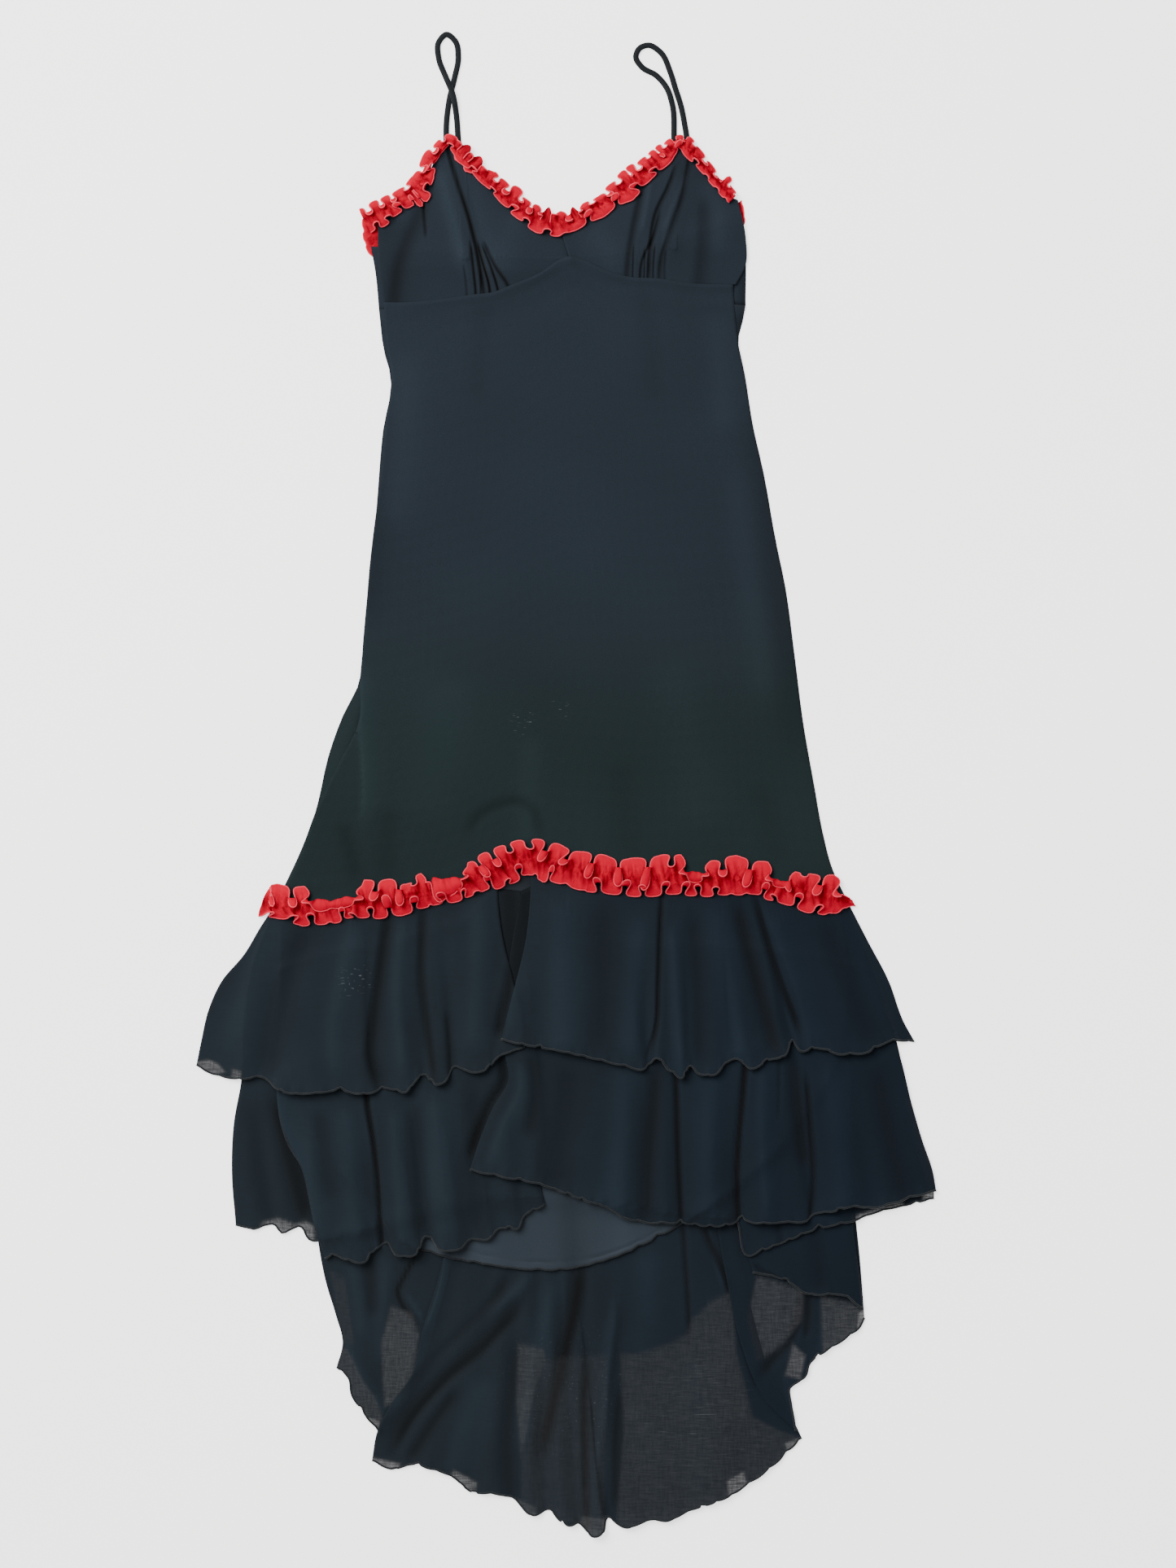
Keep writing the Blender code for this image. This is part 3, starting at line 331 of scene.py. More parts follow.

# Creases: chart places down the line, height, reach to its left, reach to its right (millimetres)
# Each crease's trough also gets painted shade, and its ridge a painted highlight, through the fold mark
CUP_LEFT_CREASES = (
    (((474, 270), (484, 330), (490, 400)), -0.9, 24, 22),
    (((542, 150), (549, 180), (562, 225), (575, 265), (584, 300), (590, 330), (594, 358), (597, 384)),
     -4.5, 1.5, 2.4),
    (((540, 200), (552, 250), (566, 300), (576, 345)), 1.6, 9, 6),
    (((572, 190), (584, 240), (596, 290), (606, 340)), 1.2, 6, 14),
    (((586, 296), (594, 325), (601, 350), (604, 380)), -4.0, 1.1, 1.5),
    (((578, 295), (582, 330), (585, 360), (586, 382)), -3.0, 1.1, 1.5),
    (((592, 300), (604, 330), (612, 356), (615, 380)), -3.6, 1.1, 1.4),
    (((594, 296), (609, 328), (623, 348), (632, 366)), -3.6, 1.8, 1.6),
    (((570, 325), (573, 345), (575, 376)), -1.2, 1.2, 1.4),
    (((590, 335), (591, 350), (591, 378)), -1.5, 0.9, 0.9),
    (((524, 215), (516, 262), (502, 295), (490, 330), (484, 372), (480, 410)), -1.7, 7, 9),
    (((519, 235), (521, 262), (524, 295)), -2.4, 1.2, 1.6),
    (((462, 278), (463, 300), (464, 335)), -0.6, 0.8, 0.8),
    (((640, 262), (625, 300), (622, 345)), 0.9, 16, 16),
)
CUP_RIGHT_CREASES = (
    (((790, 215), (786, 245), (779, 280), (773, 318), (770, 356)), -2.2, 3.2, 3.4),
    (((834, 195), (820, 232), (806, 262), (799, 300), (797, 330), (796, 360)), -2.8, 1.6, 3.0),
    (((812, 255), (803, 290), (789, 322), (786, 360)), -2.2, 1.2, 2.2),
    (((852, 170), (846, 200), (838, 240), (822, 288), (812, 320), (810, 362)), -2.2, 1.6, 4.5),
    (((779, 300), (778, 330), (777, 360)), -1.6, 1.0, 1.0),
    (((792, 306), (792, 335), (791, 360)), -1.6, 0.9, 0.9),
    (((805, 300), (803, 330), (803, 360)), -1.8, 1.0, 1.1),
    (((818, 306), (817, 335), (818, 362)), -1.2, 1.0, 1.4),
    (((800, 220), (795, 255), (788, 290)), 1.2, 3.5, 4),
    (((845, 215), (830, 250), (814, 290)), 1.2, 4, 3.5),
    (((866, 240), (864, 290), (860, 340), (857, 380)), -1.5, 6, 10),
    (((872, 215), (882, 260), (886, 320)), 1.0, 12, 10),
    (((725, 280), (750, 310), (757, 345)), 0.8, 14, 14),
)
SKIRT_CREASES = (
    (((462, 430), (460, 560), (455, 680), (448, 790)), -0.9, 14, 20),
    (((925, 470), (945, 620), (968, 800), (985, 950)), -0.9, 20, 16),
    (((444, 815), (442, 860), (442, 900), (445, 940), (446, 975), (443, 1020)), 2.4, 1.3, 16),
    (((442, 880), (428, 905), (410, 942), (394, 978), (382, 1003)), -0.6, 1.0, 1.0),
    (((572, 1030), (590, 1002), (612, 990), (636, 985), (652, 992), (666, 1036)), -1.4, 5, 6),
    (((655, 900), (653, 940), (650, 985), (650, 1045)), 0.8, 12, 14),
    (((480, 990), (478, 1030), (476, 1085)), -0.8, 12, 12),
    (((420, 1010), (430, 1040), (440, 1085)), -1.0, 8, 8),
    (((600, 362), (592, 420), (585, 500)), -0.4, 12, 12),
    (((790, 350), (800, 420), (806, 500)), -0.4, 12, 12),
    (((880, 380), (888, 460), (893, 540)), 0.8, 14, 14),
    (((500, 420), (497, 540), (488, 660)), 0.8, 20, 20),
    (((905, 560), (925, 720), (950, 880)), 0.9, 16, 16),
    (((560, 820), (545, 920), (520, 1020)), 0.6, 26, 26),
    (((820, 800), (850, 920), (870, 1030)), 0.6, 28, 28),
    (((760, 930), (770, 1000), (775, 1060)), -0.5, 16, 16),
    (((930, 960), (950, 1020), (960, 1070)), -0.5, 14, 14),
)
UPPER_LEFT_CREASES = (
    # Painted shadow of the right half's edge on this half
    (((632, 1180), (627, 1205), (618, 1242), (612, 1278)), -3.0, 5, 6),
    (((478, 1100), (472, 1150), (465, 1200), (458, 1250), (455, 1300), (472, 1350)), -3.2, 3.5, 8),
    (((521, 1100), (519, 1150), (518, 1200), (525, 1260), (537, 1345)), -2.8, 4, 5),
    (((549, 1240), (553, 1285), (556, 1340)), -2.0, 3, 4),
    (((440, 1120), (425, 1190), (412, 1260), (418, 1340)), 1.8, 10, 12),
    (((497, 1120), (490, 1200), (495, 1330)), 1.8, 8, 9),
    (((590, 1100), (588, 1180), (582, 1300)), 1.4, 10, 12),
    (((380, 1130), (350, 1220), (330, 1330)), -1.4, 12, 12),
    (((350, 1110), (310, 1200), (280, 1300)), 1.0, 14, 14),
    # Painted shade in the opening between the two halves
    (((611, 1075), (614, 1115), (621, 1160), (633, 1205)), -3.0, 0.9, 16),
)
UPPER_RIGHT_CREASES = (
    (((692, 1090), (690, 1160), (690, 1230), (692, 1310)), 1.6, 18, 20),
    (((813, 1085), (810, 1150), (808, 1210), (805, 1262), (794, 1300)), -3.4, 1.6, 3.2),
    (((826, 1130), (830, 1200), (833, 1255), (840, 1330)), 2.4, 6, 7),
    (((790, 1120), (783, 1200), (775, 1310)), 1.8, 12, 9),
    (((928, 1095), (937, 1130), (949, 1170), (963, 1212), (976, 1245), (986, 1275)), -3.4, 4.5, 1.6),
    (((938, 1110), (960, 1165), (982, 1222), (1000, 1300)), 2.6, 5, 16),
    (((903, 1100), (918, 1160), (933, 1215), (958, 1310)), -2.4, 7, 8),
    (((880, 1110), (895, 1200), (915, 1320)), 1.6, 14, 9),
    (((745, 1100), (742, 1180), (738, 1300)), -1.3, 14, 14),
    (((850, 1110), (858, 1200), (862, 1320)), -1.3, 7, 10),
    (((1010, 1120), (1040, 1200), (1075, 1290)), -1.2, 12, 12),
    (((640, 1110), (630, 1180), (625, 1280)), 1.4, 6, 12),
)
LOWER_LEFT_CREASES = (
    # Painted shadow of the right half's edge on this half
    (((611, 1285), (619, 1326), (602, 1356), (588, 1390), (575, 1428)), -3.4, 5, 5),
    # Painted shade where this flounce's top shows in the opening under the upper flounce
    (((625, 1040), (627, 1120), (630, 1215)), -3.2, 15, 15),
    (((341, 1300), (341, 1345), (346, 1378), (355, 1402), (371, 1432), (379, 1462), (388, 1540)),
     5.0, 1.0, 20),
    (((348, 1385), (356, 1412), (366, 1445), (374, 1490), (378, 1540)), -3.0, 14, 2.0),
    (((447, 1310), (452, 1360), (459, 1402), (464, 1450), (467, 1500), (472, 1560)), -6.5, 2.0, 2.8),
    (((425, 1350), (432, 1420), (440, 1540)), 2.4, 14, 12),
    (((540, 1330), (541, 1420), (545, 1545)), 2.2, 16, 18),
    (((486, 1350), (490, 1440), (500, 1540)), 1.8, 8, 12),
    (((510, 1350), (515, 1440), (522, 1530)), -1.4, 8, 8),
    (((580, 1330), (582, 1420), (588, 1530)), -1.3, 10, 10),
    (((310, 1340), (318, 1420), (335, 1515)), -1.2, 10, 10),
    (((393, 1360), (402, 1440), (412, 1480)), -1.0, 8, 10),
)
LOWER_RIGHT_CREASES = (
    # Painted shade where this flounce's top shows in the opening under the upper flounce
    (((648, 1030), (645, 1100), (638, 1165), (630, 1225)), -3.2, 13, 11),
    (((829, 1295), (831, 1350), (833, 1420), (838, 1520)), -4.0, 2.2, 3.0),
    (((808, 1295), (803, 1360), (797, 1430), (795, 1510)), -2.2, 8, 8),
    (((775, 1300), (765, 1400), (755, 1500)), 1.6, 16, 14),
    (((919, 1270), (912, 1345), (907, 1400), (905, 1450), (908, 1505), (916, 1570)), -7.0, 2.3, 3.2),
    (((880, 1300), (872, 1400), (870, 1510)), 2.4, 14, 12),
    (((938, 1300), (937, 1380), (945, 1510)), 2.4, 7, 10),
    (((957, 1290), (957, 1335), (955, 1375)), -1.2, 1.2, 1.6),
    (((975, 1295), (981, 1360), (990, 1440)), -2.2, 8, 6),
    (((989, 1310), (994, 1380), (998, 1450), (991, 1520)), -2.8, 1.6, 3.5),
    (((1020, 1300), (1030, 1400), (1040, 1500)), 2.0, 12, 16),
    (((1075, 1300), (1095, 1400), (1115, 1490)), -1.4, 12, 12),
    (((700, 1300), (690, 1380), (680, 1470)), -1.3, 16, 16),
    (((640, 1300), (640, 1340), (618, 1385), (600, 1440)), 2.0, 5, 12),
    (((655, 1290), (658, 1345), (650, 1400)), -1.8, 7, 10),
)
BACK_FLOUNCE_CREASES = (
    # Painted shadow of the lower left flounce's edge on this flounce
    (((336, 1340), (346, 1385), (358, 1430), (370, 1475), (378, 1510)), -3.4, 9, 14),
    (((310, 1350), (318, 1430), (335, 1515)), -1.2, 9, 9),
    (((948, 1480), (956, 1510), (960, 1545)), -1.5, 2, 3),
    (((1020, 1470), (1024, 1490), (1026, 1520)), 0.8, 8, 8),
)
LINING_CREASES = (
    # Painted shadow of the flounces that lie over the lining
    (((560, 1076), (600, 1078), (635, 1080), (670, 1078), (710, 1076)), -3.0, 18, 18),
    (((528, 1522), (560, 1530), (600, 1541), (640, 1547), (690, 1549), (730, 1543), (770, 1530), (800, 1515),
      (832, 1495)), -0.9, 0.7, 0.7),
    (((700, 1440), (702, 1500), (704, 1580)), -0.9, 12, 16),
    (((600, 1480), (598, 1520), (596, 1570)), 0.8, 14, 14),
    (((780, 1470), (770, 1510), (765, 1570)), 0.8, 14, 14),
)
TRAIN_LEFT_CREASES = (
    (((424, 1642), (431, 1668), (442, 1692), (455, 1712), (480, 1750)), 1.8, 1.2, 8),
    (((452, 1535), (456, 1575), (460, 1620)), -1.8, 6, 7),
    (((432, 1540), (440, 1590), (448, 1650)), 1.2, 8, 8),
    (((480, 1540), (472, 1600), (470, 1680)), 1.2, 9, 6),
    (((521, 1515), (508, 1545), (496, 1568), (488, 1586), (493, 1602), (517, 1630)), -4.5, 2.0, 3.4),
    (((500, 1592), (508, 1602), (520, 1622)), 1.8, 2.4, 2.4),
)
TRAIN_CENTRE_CREASES = (
    (((548, 1528), (545, 1556), (538, 1588), (521, 1636)), 1.8, 1.1, 7),
    (((628, 1560), (612, 1592), (572, 1634), (522, 1680), (484, 1722)), -2.8, 6, 7),
    (((648, 1590), (632, 1612), (592, 1655), (541, 1700), (502, 1745), (478, 1792)), -3.4, 7, 6),
    (((662, 1550), (640, 1582), (600, 1612), (560, 1650), (510, 1692), (474, 1748)), 2.8, 7, 7),
    (((565, 1705), (535, 1745), (500, 1800)), -2.2, 6, 7),
    (((600, 1690), (575, 1750), (555, 1820)), 1.4, 12, 14),
    (((640, 1640), (632, 1700), (625, 1780), (632, 1860)), -1.6, 10, 10),
    (((715, 1535), (711, 1575), (705, 1612), (695, 1655), (685, 1702), (674, 1745), (660, 1800)), -5.0, 7, 8),
    (((684, 1560), (672, 1620), (652, 1700), (640, 1790)), 2.0, 9, 9),
    (((762, 1585), (755, 1625), (748, 1682), (742, 1740), (736, 1790), (739, 1900)), 4.0, 7, 5),
    (((722, 1660), (719, 1720), (719, 1780), (722, 1900)), -3.4, 4, 4),
    (((762, 1700), (757, 1760), (755, 1860)), -2.2, 3, 8),
    (((838, 1490), (841, 1540), (845, 1600), (848, 1655)), -2.6, 1.5, 3),
    (((800, 1530), (795, 1600), (790, 1680)), 1.2, 14, 14),
    (((858, 1490), (872, 1525), (888, 1560), (901, 1595), (912, 1635), (922, 1670), (930, 1705)), -4.6, 3, 4),
    (((884, 1490), (893, 1540), (903, 1590)), -3.2, 3, 3),
    (((868, 1500), (880, 1545), (893, 1590)), 2.2, 3, 3),
    (((904, 1485), (908, 1520), (916, 1550), (923, 1585)), -3.4, 3, 3),
    (((850, 1660), (860, 1740), (865, 1850)), 1.0, 14, 14),
    (((900, 1660), (905, 1730), (912, 1810)), -1.2, 9, 9),
)
TRAIN_RIGHT_CREASES = (
    (((988, 1585), (982, 1622), (970, 1648), (948, 1670), (930, 1695)), -2.4, 5, 5),
    (((992, 1580), (993, 1610), (990, 1645)), -2.2, 3, 4),
    (((1005, 1580), (1008, 1620), (1006, 1670)), 1.2, 1.0, 8),
    (((960, 1575), (955, 1610), (945, 1650)), 1.2, 9, 9),
    (((962, 1685), (968, 1712), (976, 1740), (984, 1770)), 0.8, 2, 8),
)
TRAIN_TURN_CREASES = (
    (((924, 1550), (935, 1560), (950, 1566), (966, 1576)), -1.4, 2, 2),
    (((1000, 1500), (1005, 1540), (1008, 1590)), -1.0, 9, 9),
)

# Where the cloth is a single layer, so that the floor shows through: chart places round each spot, sheerness
TRAIN_LEFT_SHEER = (
    (((480, 1604), (506, 1612), (515, 1640), (508, 1690), (488, 1726), (472, 1728), (468, 1650)), 0.142),
    (((425, 1655), (434, 1668), (446, 1694), (462, 1716), (472, 1745), (462, 1762), (410, 1700),
      (410, 1660)), 0.119),
    (((405, 1560), (424, 1570), (436, 1650), (420, 1650)), 0.067),
    (((452, 1740), (466, 1745), (470, 1764), (455, 1760)), 0.331),
)
TRAIN_CENTRE_SHEER = (
    (((636, 1650), (668, 1655), (672, 1672), (658, 1705), (648, 1760), (640, 1790), (634, 1720)), 0.113),
    (((640, 1700), (670, 1670), (712, 1664), (748, 1664), (742, 1880), (700, 1870), (640, 1862)), 0.055),
    (((762, 1664), (792, 1660), (818, 1652), (842, 1640), (850, 1620), (876, 1597), (900, 1584), (905, 1660),
      (925, 1740), (958, 1757), (985, 1766), (960, 1800), (914, 1825), (860, 1860), (800, 1880), (756, 1880),
      (766, 1760)), 0.09),
    (((870, 1600), (900, 1584), (905, 1660), (920, 1740), (880, 1760), (850, 1690)), 0.1),
    (((448, 1788), (492, 1797), (490, 1812), (448, 1806)), 0.331),
    (((558, 1804), (586, 1820), (584, 1842), (545, 1822)), 0.269),
    (((636, 1840), (660, 1850), (660, 1872), (626, 1850)), 0.148),
    (((712, 1862), (746, 1862), (748, 1892), (712, 1892)), 0.151),
    (((892, 1818), (914, 1806), (920, 1826), (894, 1842)), 0.269),
    (((964, 1772), (992, 1762), (992, 1780), (968, 1792)), 0.298),
)
TRAIN_RIGHT_SHEER = (
    (((930, 1566), (988, 1584), (986, 1620), (960, 1655), (930, 1672), (918, 1620)), 0.125),
    (((1008, 1590), (1046, 1600), (1066, 1612), (1062, 1632), (1010, 1668)), 0.142),
    (((974, 1650), (990, 1664), (984, 1694), (964, 1690)), 0.2),
    (((1054, 1612), (1064, 1606), (1064, 1630), (1052, 1636)), 0.331),
)
UPPER_LEFT_SHEER = (
    (((236, 1318), (242, 1304), (256, 1301), (268, 1306), (277, 1316), (262, 1322)), 0.3),
    (((286, 1312), (298, 1316), (296, 1326), (284, 1322)), 0.24),
)
LOWER_LEFT_SHEER = (
    (((290, 1500), (330, 1496), (340, 1497), (338, 1522), (290, 1522)), 0.3),
    (((335, 1500), (350, 1503), (356, 1530), (340, 1530)), 0.4),
    (((370, 1506), (382, 1506), (384, 1530), (368, 1530)), 0.5),
    (((340, 1504), (356, 1505), (390, 1508), (390, 1530), (338, 1524)), 0.42),
)
BACK_FLOUNCE_SHEER = (
    (((322, 1500), (344, 1496), (360, 1503), (376, 1500), (388, 1506), (388, 1530), (320, 1530)), 0.3),
    (((1050, 1492), (1080, 1484), (1110, 1477), (1112, 1490), (1046, 1505)), 0.3),
    (((1134, 1462), (1154, 1456), (1156, 1476), (1134, 1476)), 0.33),
)
LOWER_RIGHT_SHEER = (
    (((1112, 1350), (1128, 1350), (1156, 1450), (1140, 1460)), 0.06),
)

# The free lobes of the ruffles, from left to right. Each row gives the chart place of a lobe's tip, and then
# the notch after it: how much of the reach is left there (1 where there is no notch, below 0 where the cloth
# stands up and leans over the stitches), how far the notch leans along the ruffle, and whether the lobe is
# folded over towards the stitches (1 on top, -1 underneath).
NECK_UPPER_LOBES = (
    (458, 248, 0.2, 0.0, 0), (472, 242, 0.1, 0.0, 0), (487, 235, 0.4, 0.0, 0), (504, 220, 0.1, 0.2, 0),
    (521, 190, 0.1, 0.0, 0), (537, 175, 0.3, 0.0, 0), (553, 166, 0.5, 0.0, 0), (577, 179, 0.5, 0.0, -1),
    (592, 194, 0.5, 0.0, -1), (609, 212, 0.3, 0.0, 0), (621, 223, 0.1, 0.0, 0), (638, 231, 0.3, 0.2, 0),
    (648, 246, -0.2, 0.1, 0), (662, 253, 0.2, 0.0, 0), (675, 255, 0.5, 0.0, -1), (689, 260, -0.1, 0.0, 0),
    (703, 255, 0.3, 0.0, -1), (716, 251, 0.4, 0.0, 0), (735, 242, 0.1, 0.3, 0), (748, 228, 0.4, 0.0, 0),
    (764, 211, 0.3, 0.2, 0), (771, 205, 0.3, 0.0, 0), (788, 196, 0.5, 0.0, 0), (800, 186, 0.0, 0.3, 0),
    (807, 180, 0.4, 0.0, 0), (820, 173, 0.2, 0.0, 0), (835, 167, 0.2, 0.0, 0), (849, 170, 0.5, 0.0, 0),
    (860, 184, 0.1, 0.2, 0), (876, 205, 0.0, 0.2, 0), (884, 221, 0.1, 0.0, 0), (897, 217, 0.3, 0.2, 0),
    (899, 231, 0.2, 0.0, 0))
NECK_LOWER_LOBES = (
    (457, 285, 0.4, 0.0, 0), (474, 278, 0.5, -0.2, 0), (490, 263, 0.0, -0.4, 0), (506, 254, 0.0, -0.1, 0),
    (519, 254, -0.2, -0.2, 0), (525, 248, 0.3, -0.1, 0), (533, 220, -0.2, -0.3, 0), (541, 190, 0.3, 0.0, 0),
    (562, 199, 0.1, 0.2, 0), (590, 224, 0.4, 0.0, 0), (617, 251, 0.1, 0.3, 0), (633, 267, 0.5, 0.0, 0),
    (658, 286, 0.5, 0.1, 0), (685, 291, 0.8, 0.0, 0), (703, 285, -0.1, 0.3, 0), (742, 267, -0.1, 0.2, 0),
    (778, 246, 0.1, -0.4, 0), (800, 221, 0.2, -0.3, 0), (820, 204, -0.4, 0.2, 0), (843, 194, 0.4, 0.0, 0),
    (861, 211, 0.7, 0.0, 0), (874, 227, 0.7, 0.0, 0), (886, 241, 0.7, 0.0, 0), (898, 250, 0.6, 0.0, 0))
HIP_UPPER_LOBES = (
    (341, 1086, 0.0, 0.2, 0), (375, 1089, 0.3, -0.5, 0), (394, 1104, 1.0, 0.0, 1), (420, 1103, 0.2, 0.4, 1),
    (448, 1081, 0.0, -0.3, 0), (479, 1080, -0.5, 0.0, 0), (500, 1086, 0.5, 0.0, 0), (517, 1073, 0.5, 0.0, 0),
    (533, 1077, 1.0, 0.0, 1), (553, 1078, 0.3, 0.2, 1), (575, 1060, -0.3, 0.3, 0), (592, 1049, 0.0, 0.2, 0),
    (613, 1040, 0.4, 0.1, 0), (634, 1033, 0.4, 0.2, 0), (662, 1031, -0.1, -0.3, 0), (687, 1037, 0.1, -0.4, 0),
    (721, 1047, -0.3, -0.2, 0), (741, 1050, -0.5, 0.1, 0), (780, 1054, -0.6, -0.3, 0),
    (815, 1050, 0.4, -0.1, 0), (836, 1050, 0.3, -0.5, 0), (854, 1071, 0.2, 0.2, 1), (873, 1058, 0.1, 0.0, 0),
    (904, 1051, -0.4, -0.2, 0), (943, 1059, 0.2, -0.4, 0), (958, 1082, -0.5, 0.3, 1),
    (977, 1071, 0.7, 0.0, 0), (999, 1074, -0.1, -0.3, 0), (1025, 1075, 0.1, -0.3, 0),
    (1044, 1104, 0.5, 0.0, 0))
HIP_LOWER_LOBES = (
    (340, 1127, 0.5, 0.4, 0), (372, 1137, 0.3, -0.1, 0), (398, 1135, 0.8, 0.0, 0), (415, 1133, 0.2, 0.0, 0),
    (430, 1127, 0.5, -0.4, 0), (447, 1127, 0.3, 0.0, 0), (467, 1128, -0.3, -0.2, 0), (496, 1124, 0.0, 0.1, 0),
    (524, 1114, 0.7, 0.0, 0), (535, 1111, 0.1, -0.2, 0), (563, 1107, 0.3, 0.3, 0), (577, 1101, 0.7, 0.0, 0),
    (597, 1093, 0.1, 0.0, 0), (614, 1091, 0.6, 0.2, 0), (632, 1084, 0.2, 0.0, 0), (649, 1074, 0.8, 0.0, 0),
    (667, 1083, 0.1, 0.0, 0), (680, 1083, 0.9, 0.0, 0), (709, 1092, 0.9, 0.2, 0), (723, 1095, 0.2, -0.3, 0),
    (751, 1098, 0.1, 0.2, 0), (780, 1101, 0.3, -0.1, 0), (801, 1101, 0.2, 0.2, 0), (827, 1098, 0.2, 0.3, 0),
    (849, 1100, 0.3, -0.1, 0), (869, 1101, 0.4, 0.0, 0), (889, 1099, 0.9, 0.0, 0), (907, 1099, 0.9, 0.0, 0),
    (927, 1098, 0.0, 0.2, 0), (944, 1105, 0.5, -0.3, 0), (963, 1110, 0.2, 0.1, 0), (989, 1120, 0.4, 0.3, 0),
    (1010, 1123, 0.9, 0.0, 0), (1026, 1121, 0.8, 0.0, 0), (1042, 1111, 0.6, 0.0, 0))

# The flounces, in the order in which they are laid: folds, seam, edges, points across and down, creases,
# sheer places, kind of cloth, lap at the seam (millimetres), seed of the hem's waves, level where the folds
# start, puff (millimetres), what each rests on
FLOUNCES = {
    "train_left": (
        TRAIN_LEFT, TRAIN_SEAM, TRAIN_LEFT_EDGES, (60, 90), TRAIN_LEFT_CREASES, TRAIN_LEFT_SHEER,
        "chiffon", LAP, 1.0, 0.4, 0.6, ["floor"]),
    "train_centre": (
        TRAIN_CENTRE, TRAIN_SEAM, TRAIN_CENTRE_EDGES, (220, 120), TRAIN_CENTRE_CREASES, TRAIN_CENTRE_SHEER,
        "chiffon", LAP, 2.1, 0.3, 1.0, ["train_left_cloth"]),
    "train_right": (
        TRAIN_RIGHT, TRAIN_SEAM, TRAIN_RIGHT_EDGES, (80, 90), TRAIN_RIGHT_CREASES, TRAIN_RIGHT_SHEER,
        "chiffon", LAP, 3.3, 0.4, 0.6, ["train_centre_cloth"]),
    "train_turn": (
        TRAIN_TURN, TRAIN_SEAM, TRAIN_TURN_EDGES, (60, 60), TRAIN_TURN_CREASES, (),
        "chiffon", LAP, 4.2, 0.4, 0.6, ["train_right_cloth"]),
    "flounce_back": (
        BACK_FLOUNCE, HIP_SEAM, BACK_FLOUNCE_EDGES, (180, 50), BACK_FLOUNCE_CREASES, BACK_FLOUNCE_SHEER,
        "chiffon", LAP, 5.0, 0.5, 0.6, ["train_centre_cloth"]),
    "lining_skirt": (
        LINING_SKIRT, HIP_SEAM, LINING_EDGES, (70, 50), LINING_CREASES, (),
        "lining", LAP, 6.0, 0.5, 0.4, ["flounce_back_cloth"]),
    "flounce_lower_left": (
        LOWER_LEFT, LOWER_SEAM, LOWER_LEFT_EDGES, (180, 70), LOWER_LEFT_CREASES, LOWER_LEFT_SHEER,
        "chiffon", TIER_LAP, 7.0, 0.25, 1.2, ["flounce_back_cloth", "lining_skirt_cloth"]),
    "flounce_lower_right": (
        LOWER_RIGHT, LOWER_SEAM, LOWER_RIGHT_EDGES, (240, 70), LOWER_RIGHT_CREASES, LOWER_RIGHT_SHEER,
        "chiffon", TIER_LAP, 8.0, 0.25, 1.2, ["flounce_lower_left_cloth", "lining_skirt_cloth"]),
    "flounce_upper_left": (
        UPPER_LEFT, HIP_SEAM, UPPER_LEFT_EDGES, (170, 70), UPPER_LEFT_CREASES, UPPER_LEFT_SHEER,
        "chiffon", LAP, 9.0, 0.1, 1.2, ["flounce_lower_left_cloth"]),
    "flounce_upper_right": (
        UPPER_RIGHT, HIP_SEAM, UPPER_RIGHT_EDGES, (240, 70), UPPER_RIGHT_CREASES, (),
        "chiffon", LAP, 10.0, 0.1, 1.2, ["flounce_upper_left_cloth", "flounce_lower_right_cloth"]),
}


def colour(code):
    """A colour as three linear numbers, from its sRGB hex code."""
    values = np.array([int(code[i:i + 2], 16) for i in (1, 3, 5)]) / 255
    linear = np.where(values <= 0.04045, values / 12.92, ((values + 0.055) / 1.055) ** 2.4)
    return tuple(float(v) for v in linear)


def a_length(name, description, default):
    """A setting in metres."""
    return bpy.props.FloatProperty(name=name, description=description, default=default, unit="LENGTH")


def a_colour(name, description, code):
    """A setting that is a colour, from its sRGB hex code."""
    return bpy.props.FloatVectorProperty(
        name=name, description=description, default=colour(code), subtype="COLOR")


class DressSizes(bpy.types.PropertyGroup):
    """The sizes that a user would change."""

    cloth: a_length("Cloth", "Thickness of the shell of cloth", 0.0004)
    hem_roll: a_length("Hem roll", "Thickness of the rolled hems", 0.0021)
    hem_wave: a_length("Hem wave", "How far the rolled hems wave up and down", 0.0014)
    edge_thread: a_length("Edge thread", "Width of the stitched edge of the ruffles", 0.0014)
    neck_stand: a_length("Neck ruffle stand", "How high the neck ruffle's lobes stand", 0.0070)
    hip_stand: a_length("Hip ruffle stand", "How high the hip ruffle's lobes stand", 0.0090)
    strap_width: a_length("Strap width", "Width of the straps", 0.006)
    strap_thickness: a_length("Strap thickness", "Thickness of the straps", 0.0024)
    crease_depth: bpy.props.FloatProperty(
        name="Crease depth", description="Factor on the height of all creases", default=1.0,
        subtype="FACTOR")


class DressColours(bpy.types.PropertyGroup):
    """The colours that a user would change."""

    crepe: a_colour("Crepe", "Colour of the bodice and the skirt", "#171E25")
    chiffon: a_colour("Chiffon", "Colour of the flounces and the train", "#0F171D")
    # The single layer's colour is lighter than the chiffon's: painted light of the floor coming through it
    single: a_colour("Single chiffon", "Colour of the chiffon where it is a single layer", "#1F1F22")
    lining: a_colour("Lining", "Colour of the lining", "#21282F")
    ruffle: a_colour("Ruffle", "Colour of the ruffles", "#AA001F")
    edge: a_colour("Ruffle edge", "Colour of the thread on the ruffles' edges", "#D42A40")
    roll: a_colour("Hem roll", "Colour of the thread on the rolled hems", "#0D1216")
    strap: a_colour("Strap", "Colour of the straps", "#0C1013")
    floor: a_colour("Floor", "Colour of the floor", "#F4F4F3")


def sizes():
    """The sizes as they are set."""
    return bpy.context.scene.dress_sizes


def colours():
    """The colours as they are set."""
    return bpy.context.scene.dress_colours


def run_of(points):
    """How far each point of a line lies along it."""
    return np.concatenate([[0], np.cumsum(np.linalg.norm(np.diff(points, axis=0), axis=1))])


